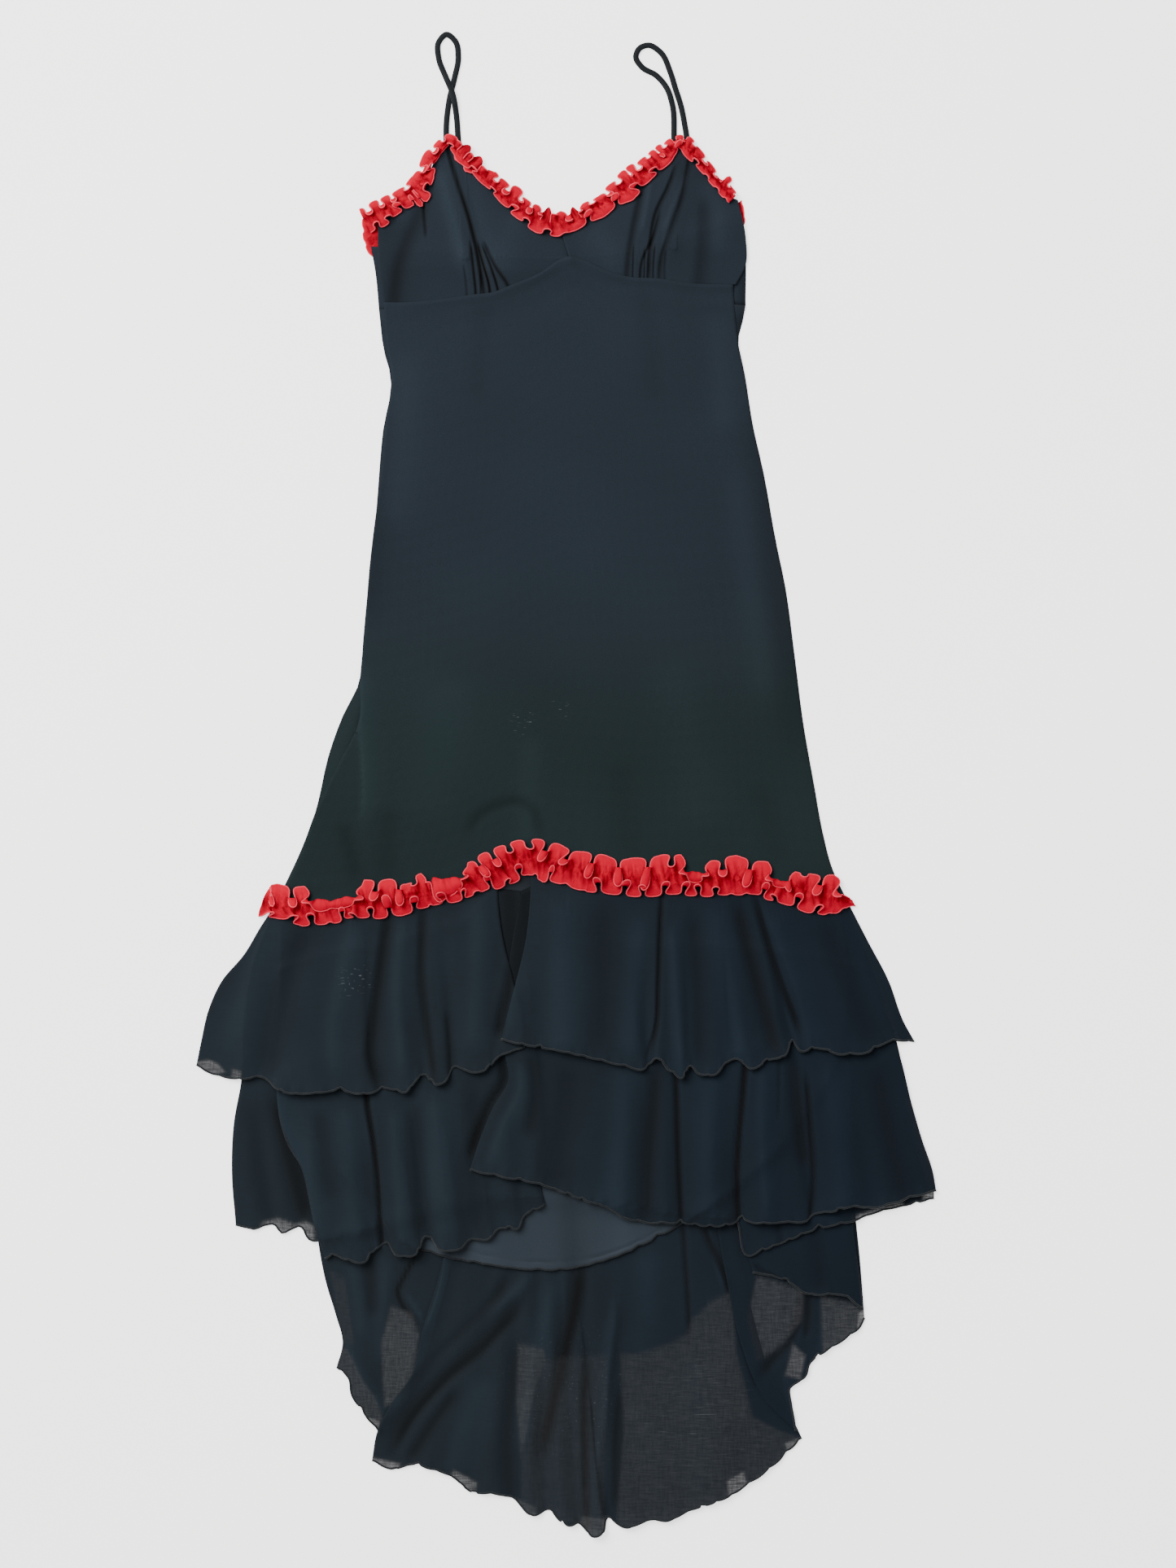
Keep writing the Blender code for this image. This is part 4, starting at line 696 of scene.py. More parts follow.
def smooth(line, fractions):
    """Points at the given fractions of the length of a smooth curve through the listed points.

    Between two points it is the cubic with the mean slopes of their neighbours at both.
    """
    points = np.array(line, float)
    lengths = run_of(points)
    slopes = np.gradient(points, lengths, axis=0)
    at = np.clip(np.asarray(fractions, float), 0, 1) * lengths[-1]
    index = np.clip(np.searchsorted(lengths, at, side="right") - 1, 0, len(points) - 2)
    step = (lengths[index + 1] - lengths[index])[:, None]
    t = (at - lengths[index])[:, None] / step
    ends = points[index] * (1 + 2 * t) * (1 - t) ** 2 + points[index + 1] * t ** 2 * (3 - 2 * t)
    return ends + step * (slopes[index] * t * (1 - t) ** 2 - slopes[index + 1] * t ** 2 * (1 - t))


def chart(places):
    """Chart places as millimetres across and down."""
    points = np.array(places, float)
    return (points - (CHART_MIDDLE, CHART_TOP)) * CHART_STEP


def on_line(line, across):
    """Points of a seam at the given places across, by straight runs between its listed points."""
    points = np.array(line, float)
    return np.stack([across, np.interp(across, points[:, 0], points[:, 1])], axis=-1)


def eased(values):
    """A step from 0 to 1 with soft ends: 3 t squared less 2 t cubed."""
    t = np.clip(values, 0, 1)
    return t * t * (3 - 2 * t)


def crowded(count, places):
    """Fractions from 0 to 1 that stand closer together round the listed places: middle, half width, how much.

    Their density is 1 plus, for each place, how much * exp(-((x - middle) / half width) squared).
    """
    x = np.linspace(0, 1, 400)
    density = 1 + sum(much * np.exp(-((x - middle) / half) ** 2) for middle, half, much in places)
    total = np.concatenate([[0], np.cumsum((density[1:] + density[:-1]) / 2)])
    return np.interp(np.linspace(0, 1, count), total / total[-1], x)


def patch(top, bottom, left, right, levels, bow=0.0, fade=1.0):
    """A sheet between four edges: straight lines from top to bottom, bent to follow the two side edges.

    A side's bend counts in full at that side and dies out to the other one, by (1 - share) to the power fade.
    The bow moves each line sideways, by bow * 4v(1 - v) at the level v.
    """
    v = np.asarray(levels, float)[:, None, None]
    straight = (1 - v) * top + v * bottom
    along = np.linspace(0, 1, len(top))[None, :, None]
    side_left = (smooth(left, levels)[:, None] - straight[:, :1]) * (1 - along) ** fade
    side_right = (smooth(right, levels)[:, None] - straight[:, -1:]) * along ** fade
    grid = straight + side_left + side_right
    grid[..., 0] += 4 * v[..., 0] * (1 - v[..., 0]) * bow
    return grid


def uneven(distance, pitch, seed):
    """An uneven wave between -1 and 1: three sines whose lengths have no common measure."""
    turn = 2 * np.pi * distance / pitch
    wave = np.sin(turn + seed)
    wave += 0.7 * np.sin(0.618 * turn + 2.3 * seed)
    wave += 0.5 * np.sin(1.73 * turn + 4.1 * seed)
    return wave / 2.2


class Pile:
    """How high the cloth lies so far, as a map of small cells from above. Bare floor counts as -GAP."""

    def __init__(self):
        self.low = np.array(MAP_LOW)
        self.heights = np.full((int(MAP_SIZE[1] / CELL), int(MAP_SIZE[0] / CELL)), -GAP)

    def window(self, flat, margin=30):
        """The part of the map round some points, and its low corner in cells."""
        start = np.maximum(((flat.min((0, 1)) - self.low) / CELL).astype(int) - margin, 0)
        end = ((flat.max((0, 1)) - self.low) / CELL).astype(int) + margin
        return (slice(start[1], end[1]), slice(start[0], end[0])), start

    def rest(self, flat, tents):
        """Heights to rest on: the highest cell near each point, with cloth tented down from it."""
        part, start = self.window(flat)
        ground = self.heights[part]
        for axis in (0, 1):
            ground = np.maximum.reduce([np.roll(ground, shift, axis) for shift in (-1, 0, 1)])
        for _ in range(tents):
            mean = ground
            for axis in (0, 1):
                mean = sum(np.roll(mean, shift, axis) for shift in range(-TENT, TENT + 1)) / (2 * TENT + 1)
            ground = np.maximum(ground, mean)
        place = (flat - self.low) / CELL - 0.5 - start
        low = np.floor(place).astype(int)
        part_x, part_y = (place - low)[..., 0], (place - low)[..., 1]
        column, row = low[..., 0], low[..., 1]
        upper = ground[row, column] * (1 - part_x) + ground[row, column + 1] * part_x
        lower = ground[row + 1, column] * (1 - part_x) + ground[row + 1, column + 1] * part_x
        return upper * (1 - part_y) + lower * part_y

    def press(self, grid):
        """Raises the map to a sheet of points, three times as close as the sheet's own."""
        for axis in (0, 1):
            first = grid.take(range(grid.shape[axis] - 1), axis)
            second = grid.take(range(1, grid.shape[axis]), axis)
            between = [first + (second - first) * part for part in (0, 1 / 3, 2 / 3)]
            shape = list(first.shape)
            shape[axis] *= 3
            grid = np.concatenate(
                [np.stack(between, axis + 1).reshape(shape), second.take([-1], axis)], axis)
        cells = ((grid[..., :2] - self.low) / CELL).astype(int)
        np.maximum.at(self.heights, (cells[..., 1].ravel(), cells[..., 0].ravel()), grid[..., 2].ravel())


pile = Pile()


def creases(flat, rows):
    """Heights of the listed creases: for each, its height times a bell of the distance to its line.

    The bell is exp(-(distance / reach) squared), with a reach of its own on each side of the line, and it
    fades out over the first and the last fifth of the line. Returned with them is a painted shade and
    highlight, from -1, a full painted shade down in a trough, up to a capped painted highlight on a ridge.
    It follows the same bell, and in a deep fold the bell to the power (distance / reach) squared, so that its
    painted shadow stays dark further out and then ends more sharply.
    """
    total = np.zeros(flat.shape[:2])
    tone = np.zeros(flat.shape[:2])
    for line, height, left, right in rows:
        path = smooth(chart(line), np.linspace(0, 1, CREASE_POINTS))
        heading = np.gradient(path, axis=0)
        margin = CREASE_WINDOW * max(left, right)
        near = np.all((flat > path.min(0) - margin) & (flat < path.max(0) + margin), axis=-1)
        away = flat[near][:, None] - path
        distance = np.linalg.norm(away, axis=-1)
        nearest = distance.argmin(1)
        pick = np.arange(len(nearest))
        from_nearest, way = away[pick, nearest], heading[nearest]
        turn = way[:, 0] * from_nearest[:, 1] - way[:, 1] * from_nearest[:, 0]
        beside = (nearest > 0) & (nearest < len(path) - 1)
        aside = np.abs(turn) / np.linalg.norm(way, axis=1)
        share = np.where(beside, aside, distance[pick, nearest]) / np.where(turn > 0, left, right)
        along = nearest / (len(path) - 1)
        bell = eased(np.minimum(along, 1 - along) * 5 + 0.15) * np.exp(-share ** 2)
        total[near] += height * bell
        if height < DEEP_FOLD:
            bell = bell ** (np.clip(share, 0.05, 9) ** 2)
        tone[near] += np.clip(height / FULL_PAINTED_SHADE, -1, RIDGE_PAINTED_HIGHLIGHT) * bell
    return total * sizes().crease_depth, np.clip(tone, -1, 1)


def inside(flat, places, soft=2.5):
    """How far each point lies inside a closed line of chart places: 1 well inside, 0 outside, soft between.

    A point is inside where a line to the right of it crosses an odd number of sides, and the softness is the
    eased distance to the nearest side.
    """
    corners = chart(places)
    after = np.roll(corners, -1, axis=0)
    odd = np.zeros(flat.shape[:2], bool)
    distance = np.full(flat.shape[:2], np.inf)
    for a, b in zip(corners, after):
        crosses = (a[1] > flat[..., 1]) != (b[1] > flat[..., 1])
        slope = (b[0] - a[0]) / (b[1] - a[1] + 1e-9)
        odd ^= crosses & (flat[..., 0] < a[0] + slope * (flat[..., 1] - a[1]))
        run = b - a
        t = np.clip(((flat - a) @ run) / (run @ run), 0, 1)
        distance = np.minimum(distance, np.linalg.norm(flat - a - t[..., None] * run, axis=-1))
    return eased(np.where(odd, distance, -distance) / (2 * soft) + 0.5)


def sheerness(flat, rows):
    """How sheer the cloth is at each point: the greatest of the listed spots."""
    result = np.zeros(flat.shape[:2])
    for places, amount in rows:
        result = np.maximum(result, amount * inside(flat, places))
    return result


def unit(lines):
    """Each row of a table of directions, made 1 long."""
    return lines / np.maximum(np.linalg.norm(lines, axis=1), 1e-9)[:, None]


def to_metres(points):
    """Millimetres across, down and up as metres in the dress's own frame."""
    across, down, up = points[..., 0], points[..., 1], points[..., 2]
    return np.stack([across - MIDDLE_ACROSS, MIDDLE_DOWN - down, up], axis=-1).reshape(-1, 3) / 1000


def quads_of(rows, columns):
    """The four corners of each cell of a grid, wound to face up when rows go down and columns go right."""
    index = np.arange(rows * columns).reshape(rows, columns)
    return np.stack([index[:-1, :-1], index[1:, :-1], index[1:, 1:], index[:-1, 1:]], -1).reshape(-1, 4)


def rim_of(rows, columns):
    """The numbers of a grid's outer points, once round."""
    index = np.arange(rows * columns).reshape(rows, columns)
    return np.concatenate([index[0, :-1], index[:-1, -1], index[-1, :0:-1], index[:0:-1, 0]])


def new_piece(name, points, faces, material, marks):
    """Makes an object of points in millimetres, with its material and its named values at each point."""
    mesh = bpy.data.meshes.new(name)
    mesh.from_pydata(to_metres(points).tolist(), [], faces)
    mesh.shade_smooth()
    mesh.materials.append(material)
    for mark, values in marks.items():
        layer = mesh.attributes.new(mark, "FLOAT", "POINT")
        layer.data.foreach_set("value", np.asarray(values, np.float32).ravel())
    piece = bpy.data.objects.new(name, mesh)
    bpy.context.scene.collection.objects.link(piece)
    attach(piece, "root")
    return piece


def cloth_piece(node_name, grid, material, marks=None):
    """A shell of cloth: the sheet's points, the same points raised by the cloth's thickness, and a rim."""
    rows, columns = grid.shape[:2]
    quads = quads_of(rows, columns)
    rim = rim_of(rows, columns)
    after = np.roll(rim, -1)
    count = rows * columns
    above = grid + (0, 0, sizes().cloth * 1000)
    side = np.stack([rim, after, after + count, rim + count], 1)
    faces = np.concatenate([quads, quads[:, ::-1] + count, side]).tolist()
    points = np.concatenate([above.reshape(-1, 3), grid.reshape(-1, 3)])
    doubled = {mark: np.tile(np.ravel(values), 2) for mark, values in (marks or {}).items()}
    piece = new_piece(f"{node_name}_cloth", points, faces, material, doubled)
    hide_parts(node_name)
    return piece


def roll_piece(name, paths, width, height, sides, material):
    """Rolls of thread: an oval of the given width and height carried along each path, with closed ends."""
    angles = np.arange(sides) * 2 * np.pi / sides
    points, faces, marks, start = [], [], [], 0
    for path in paths:
        heading = np.gradient(path, axis=0)
        aside = unit(np.stack([-heading[:, 1], heading[:, 0], np.zeros(len(path))], 1))
        up = unit(np.cross(heading, aside))
        ring = (path[:, None] + aside[:, None] * (np.cos(angles) * width / 2)[None, :, None]
                + up[:, None] * (np.sin(angles) * height / 2)[None, :, None])
        count = len(path)
        index = start + np.arange(count * sides).reshape(count, sides)
        a, b = index[:-1], index[1:]
        around = np.stack([a, b, np.roll(b, -1, 1), np.roll(a, -1, 1)], -1).reshape(-1, 4)
        first = start + count * sides
        begin = np.stack([index[0], np.roll(index[0], -1), np.full(sides, first)], 1)
        end = np.stack([np.roll(index[-1], -1), index[-1], np.full(sides, first + 1)], 1)
        points += [ring.reshape(-1, 3), path[[0, -1]]]
        faces += around.tolist() + begin.tolist() + end.tolist()
        marks += [np.repeat(run_of(path), sides), [0, run_of(path)[-1]]]
        start = first + 2
    along = np.concatenate(marks) / 1000
    return new_piece(name, np.concatenate(points), faces, material, {"along": along})


def add_node(tree, kind, settings=None, links=None):
    """Adds a node with its settings, and its inputs as numbers, colours or the outputs that feed them."""
    node = tree.nodes.new(kind)
    for key, value in (settings or {}).items():
        setattr(node, key, value)
    for key, value in (links or {}).items():
        if isinstance(value, bpy.types.NodeSocket):
            tree.links.new(value, node.inputs[key])
        else:
            node.inputs[key].default_value = value
    return node


def tinted(base, red=1.0, green=1.0, blue=1.0):
    """A colour for a socket, with its three parts made more or less."""
    return (base[0] * red, base[1] * green, base[2] * blue, 1)


def plain_finish(name, base, roughness, sheen, gloss=0.1):
    """A new material with its shader: a base colour, a roughness, a soft sheen of the fibres and a gloss."""
    material = bpy.data.materials.new(name)
    material.use_nodes = True
    shader = material.node_tree.nodes["Principled BSDF"]
    values = {"Base Color": tinted(base), "Roughness": roughness, "Metallic": 0, "IOR": 1.45,
              "Specular IOR Level": gloss, "Sheen Weight": sheen, "Sheen Roughness": 0.6}
    for key, value in values.items():
        shader.inputs[key].default_value = value
    return material, shader


def mottled(tree, tone, patterns):
    """A colour made uneven by the cloth's patterns: each one's output, and its darkest and lightest shade."""
    for pattern, darker, lighter in patterns:
        ramp = add_node(tree, "ShaderNodeValToRGB", links={"Fac": pattern})
        for element, position, shade in zip(ramp.color_ramp.elements, (0.25, 0.75), (darker, lighter)):
            element.position = position
            element.color = (shade, shade, shade, 1)
        tone = add_node(tree, "ShaderNodeMix", {"data_type": "RGBA", "blend_type": "MULTIPLY"}, {
            "Factor": 1.0, "A": tone, "B": ramp.outputs["Color"]}).outputs[2]
    return tone


def fading(tree, place, axis, start, end, first, second):
    """A colour that goes softly from the first to the second along one axis of the dress, in metres."""
    along = add_node(tree, "ShaderNodeSeparateXYZ", links={"Vector": place})
    share = add_node(tree, "ShaderNodeMapRange", {"interpolation_type": "SMOOTHSTEP"}, {
        "Value": along.outputs[axis], "From Min": start, "From Max": end})
    return add_node(tree, "ShaderNodeMix", {"data_type": "RGBA"}, {
        "Factor": share.outputs["Result"], "A": first, "B": second}).outputs[2]


def with_painted_crease_shade(tree, tone):
    """A colour with painted shade down in the creases and a painted highlight on the ridges, from the fold
    mark.
    """
    fold = add_node(tree, "ShaderNodeAttribute", {"attribute_name": "fold"})
    shade = add_node(tree, "ShaderNodeMapRange", links={
        "Value": fold.outputs["Fac"], "From Min": -1.0, "From Max": 1.0, "To Min": 0.1, "To Max": 1.9})
    return add_node(tree, "ShaderNodeMix", {"data_type": "RGBA", "blend_type": "MULTIPLY"}, {
        "Factor": 1.0, "A": tone, "B": shade.outputs["Result"]}).outputs[2]


def scuffed(tree, place, tone, spots):
    """A colour with pale scuffs and lint in the listed worn places: the peaks of a stretched noise."""
    flat_place = add_node(tree, "ShaderNodeVectorMath", {"operation": "MULTIPLY"}, {
        0: place, 1: (1.0, 1.0, 0.0)})
    for across, up, reach, grain_across, grain_up, amount in spots:
        grain = add_node(tree, "ShaderNodeMapping", links={
            "Vector": place, "Rotation": (0.0, 0.0, 0.25), "Scale": (grain_across, grain_up, 1.0)})
        noise = add_node(tree, "ShaderNodeTexNoise", links={
            "Vector": grain.outputs["Vector"], "Scale": 1.0, "Detail": 1.0})
        scratch = add_node(tree, "ShaderNodeMapRange", links={
            "Value": noise.outputs["Fac"], "From Min": 0.66, "From Max": 0.76})
        away = add_node(tree, "ShaderNodeVectorMath", {"operation": "DISTANCE"}, {
            0: flat_place.outputs["Vector"], 1: (across, up, 0.0)})
        near = add_node(tree, "ShaderNodeMapRange", links={
            "Value": away.outputs["Value"], "From Min": 0.4 * reach, "From Max": reach,
            "To Min": amount, "To Max": 0.0})
        both = add_node(tree, "ShaderNodeMath", {"operation": "MULTIPLY"}, {
            0: scratch.outputs["Result"], 1: near.outputs["Result"]})
        tone = add_node(tree, "ShaderNodeMix", {"data_type": "RGBA"}, {
            "Factor": both.outputs["Value"], "A": tone, "B": tinted(colour(SCUFF_CODE))}).outputs[2]
    return tone


def surfaced(material, tone, height, strength, distance):
    """Gives a material its colour and the bumps of its surface, and returns it."""
    tree = material.node_tree
    shader = tree.nodes["Principled BSDF"]
    bump = add_node(tree, "ShaderNodeBump", links={
        "Strength": strength, "Distance": distance, "Height": height})
    tree.links.new(tone, shader.inputs["Base Color"])
    tree.links.new(bump.outputs["Normal"], shader.inputs["Normal"])
    return material


def crepe_finish():
    """Polyester crepe: matt and finely pebbled, because its twisted yarns stand up unevenly."""
    base = colours().crepe
    material, _ = plain_finish("matt black crepe", base, 0.85, 0.03)
    tree = material.node_tree
    place = add_node(tree, "ShaderNodeTexCoord").outputs["Object"]
    # Crepe yarns are 0.3 mm apart; the pebbles are drawn 1 mm wide so that they show
    pebble = add_node(tree, "ShaderNodeTexNoise", links={
        "Vector": place, "Scale": 950.0, "Detail": 2.0}).outputs["Fac"]
    # The black is drawn a little bluer over the hips and darker and greener towards the hem
    tone = fading(tree, place, "Y", 0.25, 0.02, tinted(base), tinted(base, 0.72, 0.92, 0.70))
    drift = add_node(tree, "ShaderNodeTexNoise", links={
        "Vector": place, "Scale": 6.0, "Detail": 1.0}).outputs["Fac"]
    cloth = mottled(tree, tone, ((drift, 0.9, 1.08), (pebble, 0.86, 1.14)))
    cloth = with_painted_crease_shade(tree, scuffed(tree, place, cloth, CREPE_SCUFFS))
    return surfaced(material, cloth, pebble, 0.25, 0.0004)


def chiffon_finish():
    """Polyester chiffon: sheer and slubby, so a single layer lets some of the floor through its weave."""
    base = colours().chiffon
    material, shader = plain_finish("sheer black chiffon", base, 0.75, 0.03)
    tree = material.node_tree
    place = add_node(tree, "ShaderNodeTexCoord").outputs["Object"]
    # Slubs are thick places in the yarn, 10 to 30 mm long and 1 mm wide, more in the weft than in the warp
    yarns = []
    for stretch, detail in (((70.0, 800.0, 70.0), 3.0), ((600.0, 60.0, 60.0), 2.0)):
        lengthways = add_node(tree, "ShaderNodeMapping", links={"Vector": place, "Scale": stretch})
        yarns.append(add_node(tree, "ShaderNodeTexNoise", links={
            "Vector": lengthways.outputs["Vector"], "Scale": 1.0, "Detail": detail, "Roughness": 0.7}))
    slub = add_node(tree, "ShaderNodeMix", {"data_type": "FLOAT"}, {
        "Factor": 0.35, "A": yarns[0].outputs["Fac"], "B": yarns[1].outputs["Fac"]}).outputs["Result"]
    cloud = add_node(tree, "ShaderNodeTexNoise", links={
        "Vector": place, "Scale": 9.0, "Detail": 2.0}).outputs["Fac"]
    # The weave's yarns are 0.25 mm apart; they are drawn 1 mm apart so that they show
    weave = add_node(tree, "ShaderNodeTexNoise", links={
        "Vector": place, "Scale": 1100.0, "Detail": 1.0}).outputs["Fac"]
    # It is drawn lighter and greyer on its left side, darker and bluer on its right
    left_tint, right_tint = tinted(base, 1.05, 1.05, 1.05), tinted(base, 0.46, 0.64, 0.84)
    tone = fading(tree, place, "X", -0.12, 0.30, left_tint, right_tint)
    cloth = mottled(tree, tone, ((cloud, 0.88, 1.12), (slub, 0.88, 1.12)))
    cloth = with_painted_crease_shade(tree, scuffed(tree, place, cloth, CHIFFON_SCUFFS))
    # A single layer is painted lighter and warmer, a painted light of the floor coming through it, on top of
    # the real see-through of its alpha
    sheer = add_node(tree, "ShaderNodeAttribute", {"attribute_name": "sheer"}).outputs["Fac"]
    single = add_node(tree, "ShaderNodeMapRange", links={"Value": sheer, "From Max": 0.3, "To Max": 0.85})
    floor_light_painted = add_node(tree, "ShaderNodeMix", {"data_type": "RGBA"}, {
        "Factor": single.outputs["Result"], "A": cloth,
        "B": mottled(tree, tinted(colours().single), ((slub, 0.88, 1.12),))})
    thin = add_node(tree, "ShaderNodeMapRange", links={
        "Value": slub, "From Min": 0.35, "From Max": 0.65, "To Min": 0.45, "To Max": 1.6})
    through = add_node(tree, "ShaderNodeMath", {"operation": "MULTIPLY"}, {
        0: sheer, 1: thin.outputs["Result"]})
    opaque = add_node(tree, "ShaderNodeMapRange", links={
        "Value": through.outputs["Value"], "From Min": 0.0, "From Max": 1.0, "To Min": 0.97, "To Max": 0.25})
    tree.links.new(opaque.outputs["Result"], shader.inputs["Alpha"])
    return surfaced(material, floor_light_painted.outputs[2], weave, 0.2, 0.0004)


def lining_finish():
    """Acetate lining: smooth and closely woven, with a soft satin gloss."""
    base = colours().lining
    material, _ = plain_finish("grey acetate lining", base, 0.55, 0.03)
    tree = material.node_tree
    place = add_node(tree, "ShaderNodeTexCoord").outputs["Object"]
    # The yarns are 0.15 mm apart; they are drawn 0.8 mm apart so that they show
    weave = add_node(tree, "ShaderNodeTexNoise", links={
        "Vector": place, "Scale": 1300.0, "Detail": 1.0}).outputs["Fac"]
    cloth = with_painted_crease_shade(tree, mottled(tree, tinted(base), ((weave, 0.9, 1.1),)))
    return surfaced(material, cloth, weave, 0.15, 0.0003)


def ruffle_finish():
    """Red chiffon gathered on a thread: fine puckers, bumped and with painted shade, run from the stitches
    out to the edges, which get a painted highlight.
    """
    base = colours().ruffle
    material, _ = plain_finish("gathered red chiffon", base, 0.7, 0.0, gloss=0.03)
    tree = material.node_tree
    along, reach, deep = (
        add_node(tree, "ShaderNodeAttribute", {"attribute_name": name}).outputs["Fac"]
        for name in ("along", "reach", "deep"))
    place = add_node(tree, "ShaderNodeCombineXYZ", links={"X": along, "Y": reach})
    # Puckers are 1.5 to 3 mm apart at the stitches, and wander as they run out
    pucker = add_node(tree, "ShaderNodeMapping", links={
        "Vector": place.outputs["Vector"], "Scale": (300.0, 3.2, 1.0)})
    lines = add_node(tree, "ShaderNodeTexNoise", links={
        "Vector": pucker.outputs["Vector"], "Scale": 1.0, "Detail": 2.0, "Distortion": 0.8}).outputs["Fac"]
    # Near the stitches the puckers are drawn as stripes of painted shade; towards the edges the red is
    # painted lighter and pinker, a painted highlight
    near = add_node(tree, "ShaderNodeMapRange", links={
        "Value": reach, "From Min": 0.0, "From Max": 0.8, "To Min": 0.85, "To Max": 0.1})
    pucker_shade = add_node(tree, "ShaderNodeMix", {"data_type": "RGBA"}, {
        "Factor": near.outputs["Result"], "A": tinted(base, 1.1, 1.0, 1.3),
        "B": mottled(tree, tinted(base), ((lines, 0.2, 1.25),))})
    # Painted shade in the hollows of the standing fins and down in the wrinkles, from the deep mark
    painted_hollow_shade = add_node(tree, "ShaderNodeMapRange", links={"Value": deep, "To Min": 0.0, "To Max": 0.75})
    darker = add_node(tree, "ShaderNodeMix", {"data_type": "RGBA"}, {
        "Factor": painted_hollow_shade.outputs["Result"], "A": pucker_shade.outputs[2], "B": tinted(base, 0.25, 0.2, 0.2)})
    return surfaced(material, darker.outputs[2], lines, 0.6, 0.0006)


def thread_finish(name, base):
    """Overlocked polyester thread: slanting stitches side by side, as a sine of the way along."""
    material, _ = plain_finish(name, base, 0.6, 0.1)
    tree = material.node_tree
    along = add_node(tree, "ShaderNodeAttribute", {"attribute_name": "along"}).outputs["Fac"]
    turns = add_node(tree, "ShaderNodeMath", {"operation": "MULTIPLY"}, {0: along, 1: 2 * np.pi / STITCH})
    wave = add_node(tree, "ShaderNodeMath", {"operation": "SINE"}, {0: turns.outputs["Value"]})
    height = add_node(tree, "ShaderNodeMapRange", links={
        "Value": wave.outputs["Value"], "From Min": -1.0, "From Max": 1.0}).outputs["Result"]
    thread = mottled(tree, tinted(base), ((height, 0.94, 1.05),))
    return surfaced(material, thread, height, 0.15, 0.0003)


def rouleau_finish():
    """Crepe cut on the bias and turned into a tube: smooth and soft, and glossier than the flat crepe."""
    base = colours().strap
    material, _ = plain_finish("black crepe rouleau", base, 0.6, 0.05)
    tree = material.node_tree
    place = add_node(tree, "ShaderNodeTexCoord").outputs["Object"]
    # The same pebbles as on the crepe, drawn 1 mm wide
    pebble = add_node(tree, "ShaderNodeTexNoise", links={
        "Vector": place, "Scale": 950.0, "Detail": 2.0}).outputs["Fac"]
    return surfaced(material, mottled(tree, tinted(base), ((pebble, 0.8, 1.2),)), pebble, 0.2, 0.0004)


finishes = {}


def finish(kind):
    """The finish of that kind, made when it is first asked for."""
    makers = {
        "crepe": crepe_finish,
        "chiffon": chiffon_finish,
        "lining": lining_finish,
        "ruffle": ruffle_finish,
        "edge": lambda: thread_finish("coral overlock thread", colours().edge),
        "roll": lambda: thread_finish("black rolled hem", colours().roll),
        "strap": rouleau_finish,
    }
    if kind not in finishes:
        finishes[kind] = makers[kind]()
    return finishes[kind]


def outwards(heading):
    """The direction square to each heading, towards the upper side of a line that runs to the right."""
    return unit(np.stack([heading[:, 1], -heading[:, 0]], 1))


def settle(flat, lift, tents=SHEET_TENTS):
    """Lays a sheet on the pile and returns its points: its height is the tented pile's, plus its lift."""
    ground = pile.rest(flat, tents)
    height = np.maximum(ground + GAP + np.maximum(lift, -SINK), FLOOR_CLEAR)
    grid = np.concatenate([flat, height[..., None]], axis=-1)
    pile.press(grid + (0, 0, WALL))
    return grid


def frilled(flat, seed):
    """Waves at a rolled hem: its points moved in and out a little, and how much they rise.

    With a turn that grows by pi for each lobe, the hem goes out by (|sin turn| to the power 0.7, less 0.7)
    times 0.7 to 2.5 mm. At some of its valleys it also draws back by up to 2.2 mm and slides up to 5 mm
    along, so that it curls over itself. It rises by hem_wave * (1 + a fine uneven wave) / 2. All of it dies
    out up the cloth, by (1 - distance / HEM_REACH) to the power 1.5.
    """
    hem = flat[-1]
    distance = run_of(hem)
    weight = np.clip(1 - np.linalg.norm(flat - hem, axis=-1) / HEM_REACH, 0, 1) ** 1.5
    down = unit(hem - flat[-8])
    aside = unit(np.gradient(hem, axis=0))
    ends = np.clip(np.minimum(distance, distance[-1] - distance) / HEM_ENDS, 0, 1)
    turn = np.pi * (distance / HEM_LOBE + 0.35 * np.sin(distance / HEM_WANDER + seed)) + seed
    lobe = np.abs(np.sin(turn)) ** 0.7
    scallop = (lobe - 0.7) * (1.6 + 0.9 * np.sin(distance / HEM_SWELL + seed)) * ends
    curled = np.clip(uneven(distance, HEM_CURL, seed + 0.6) * 1.6 - 0.2, 0, 1) * ends
    curl = np.exp(-((lobe - 0.1) / 0.35) ** 2) * curled
    flat = flat + weight[..., None] * (down * (scallop - 2.2 * curl)[:, None])
    flat = flat + (weight * curl * 5.0 * np.sin(2 * turn))[..., None] * aside
    wave = (1 + uneven(distance, HEM_RIPPLE, seed + 1.7)) * sizes().hem_wave * 1000 * 0.5
    return flat, weight * wave


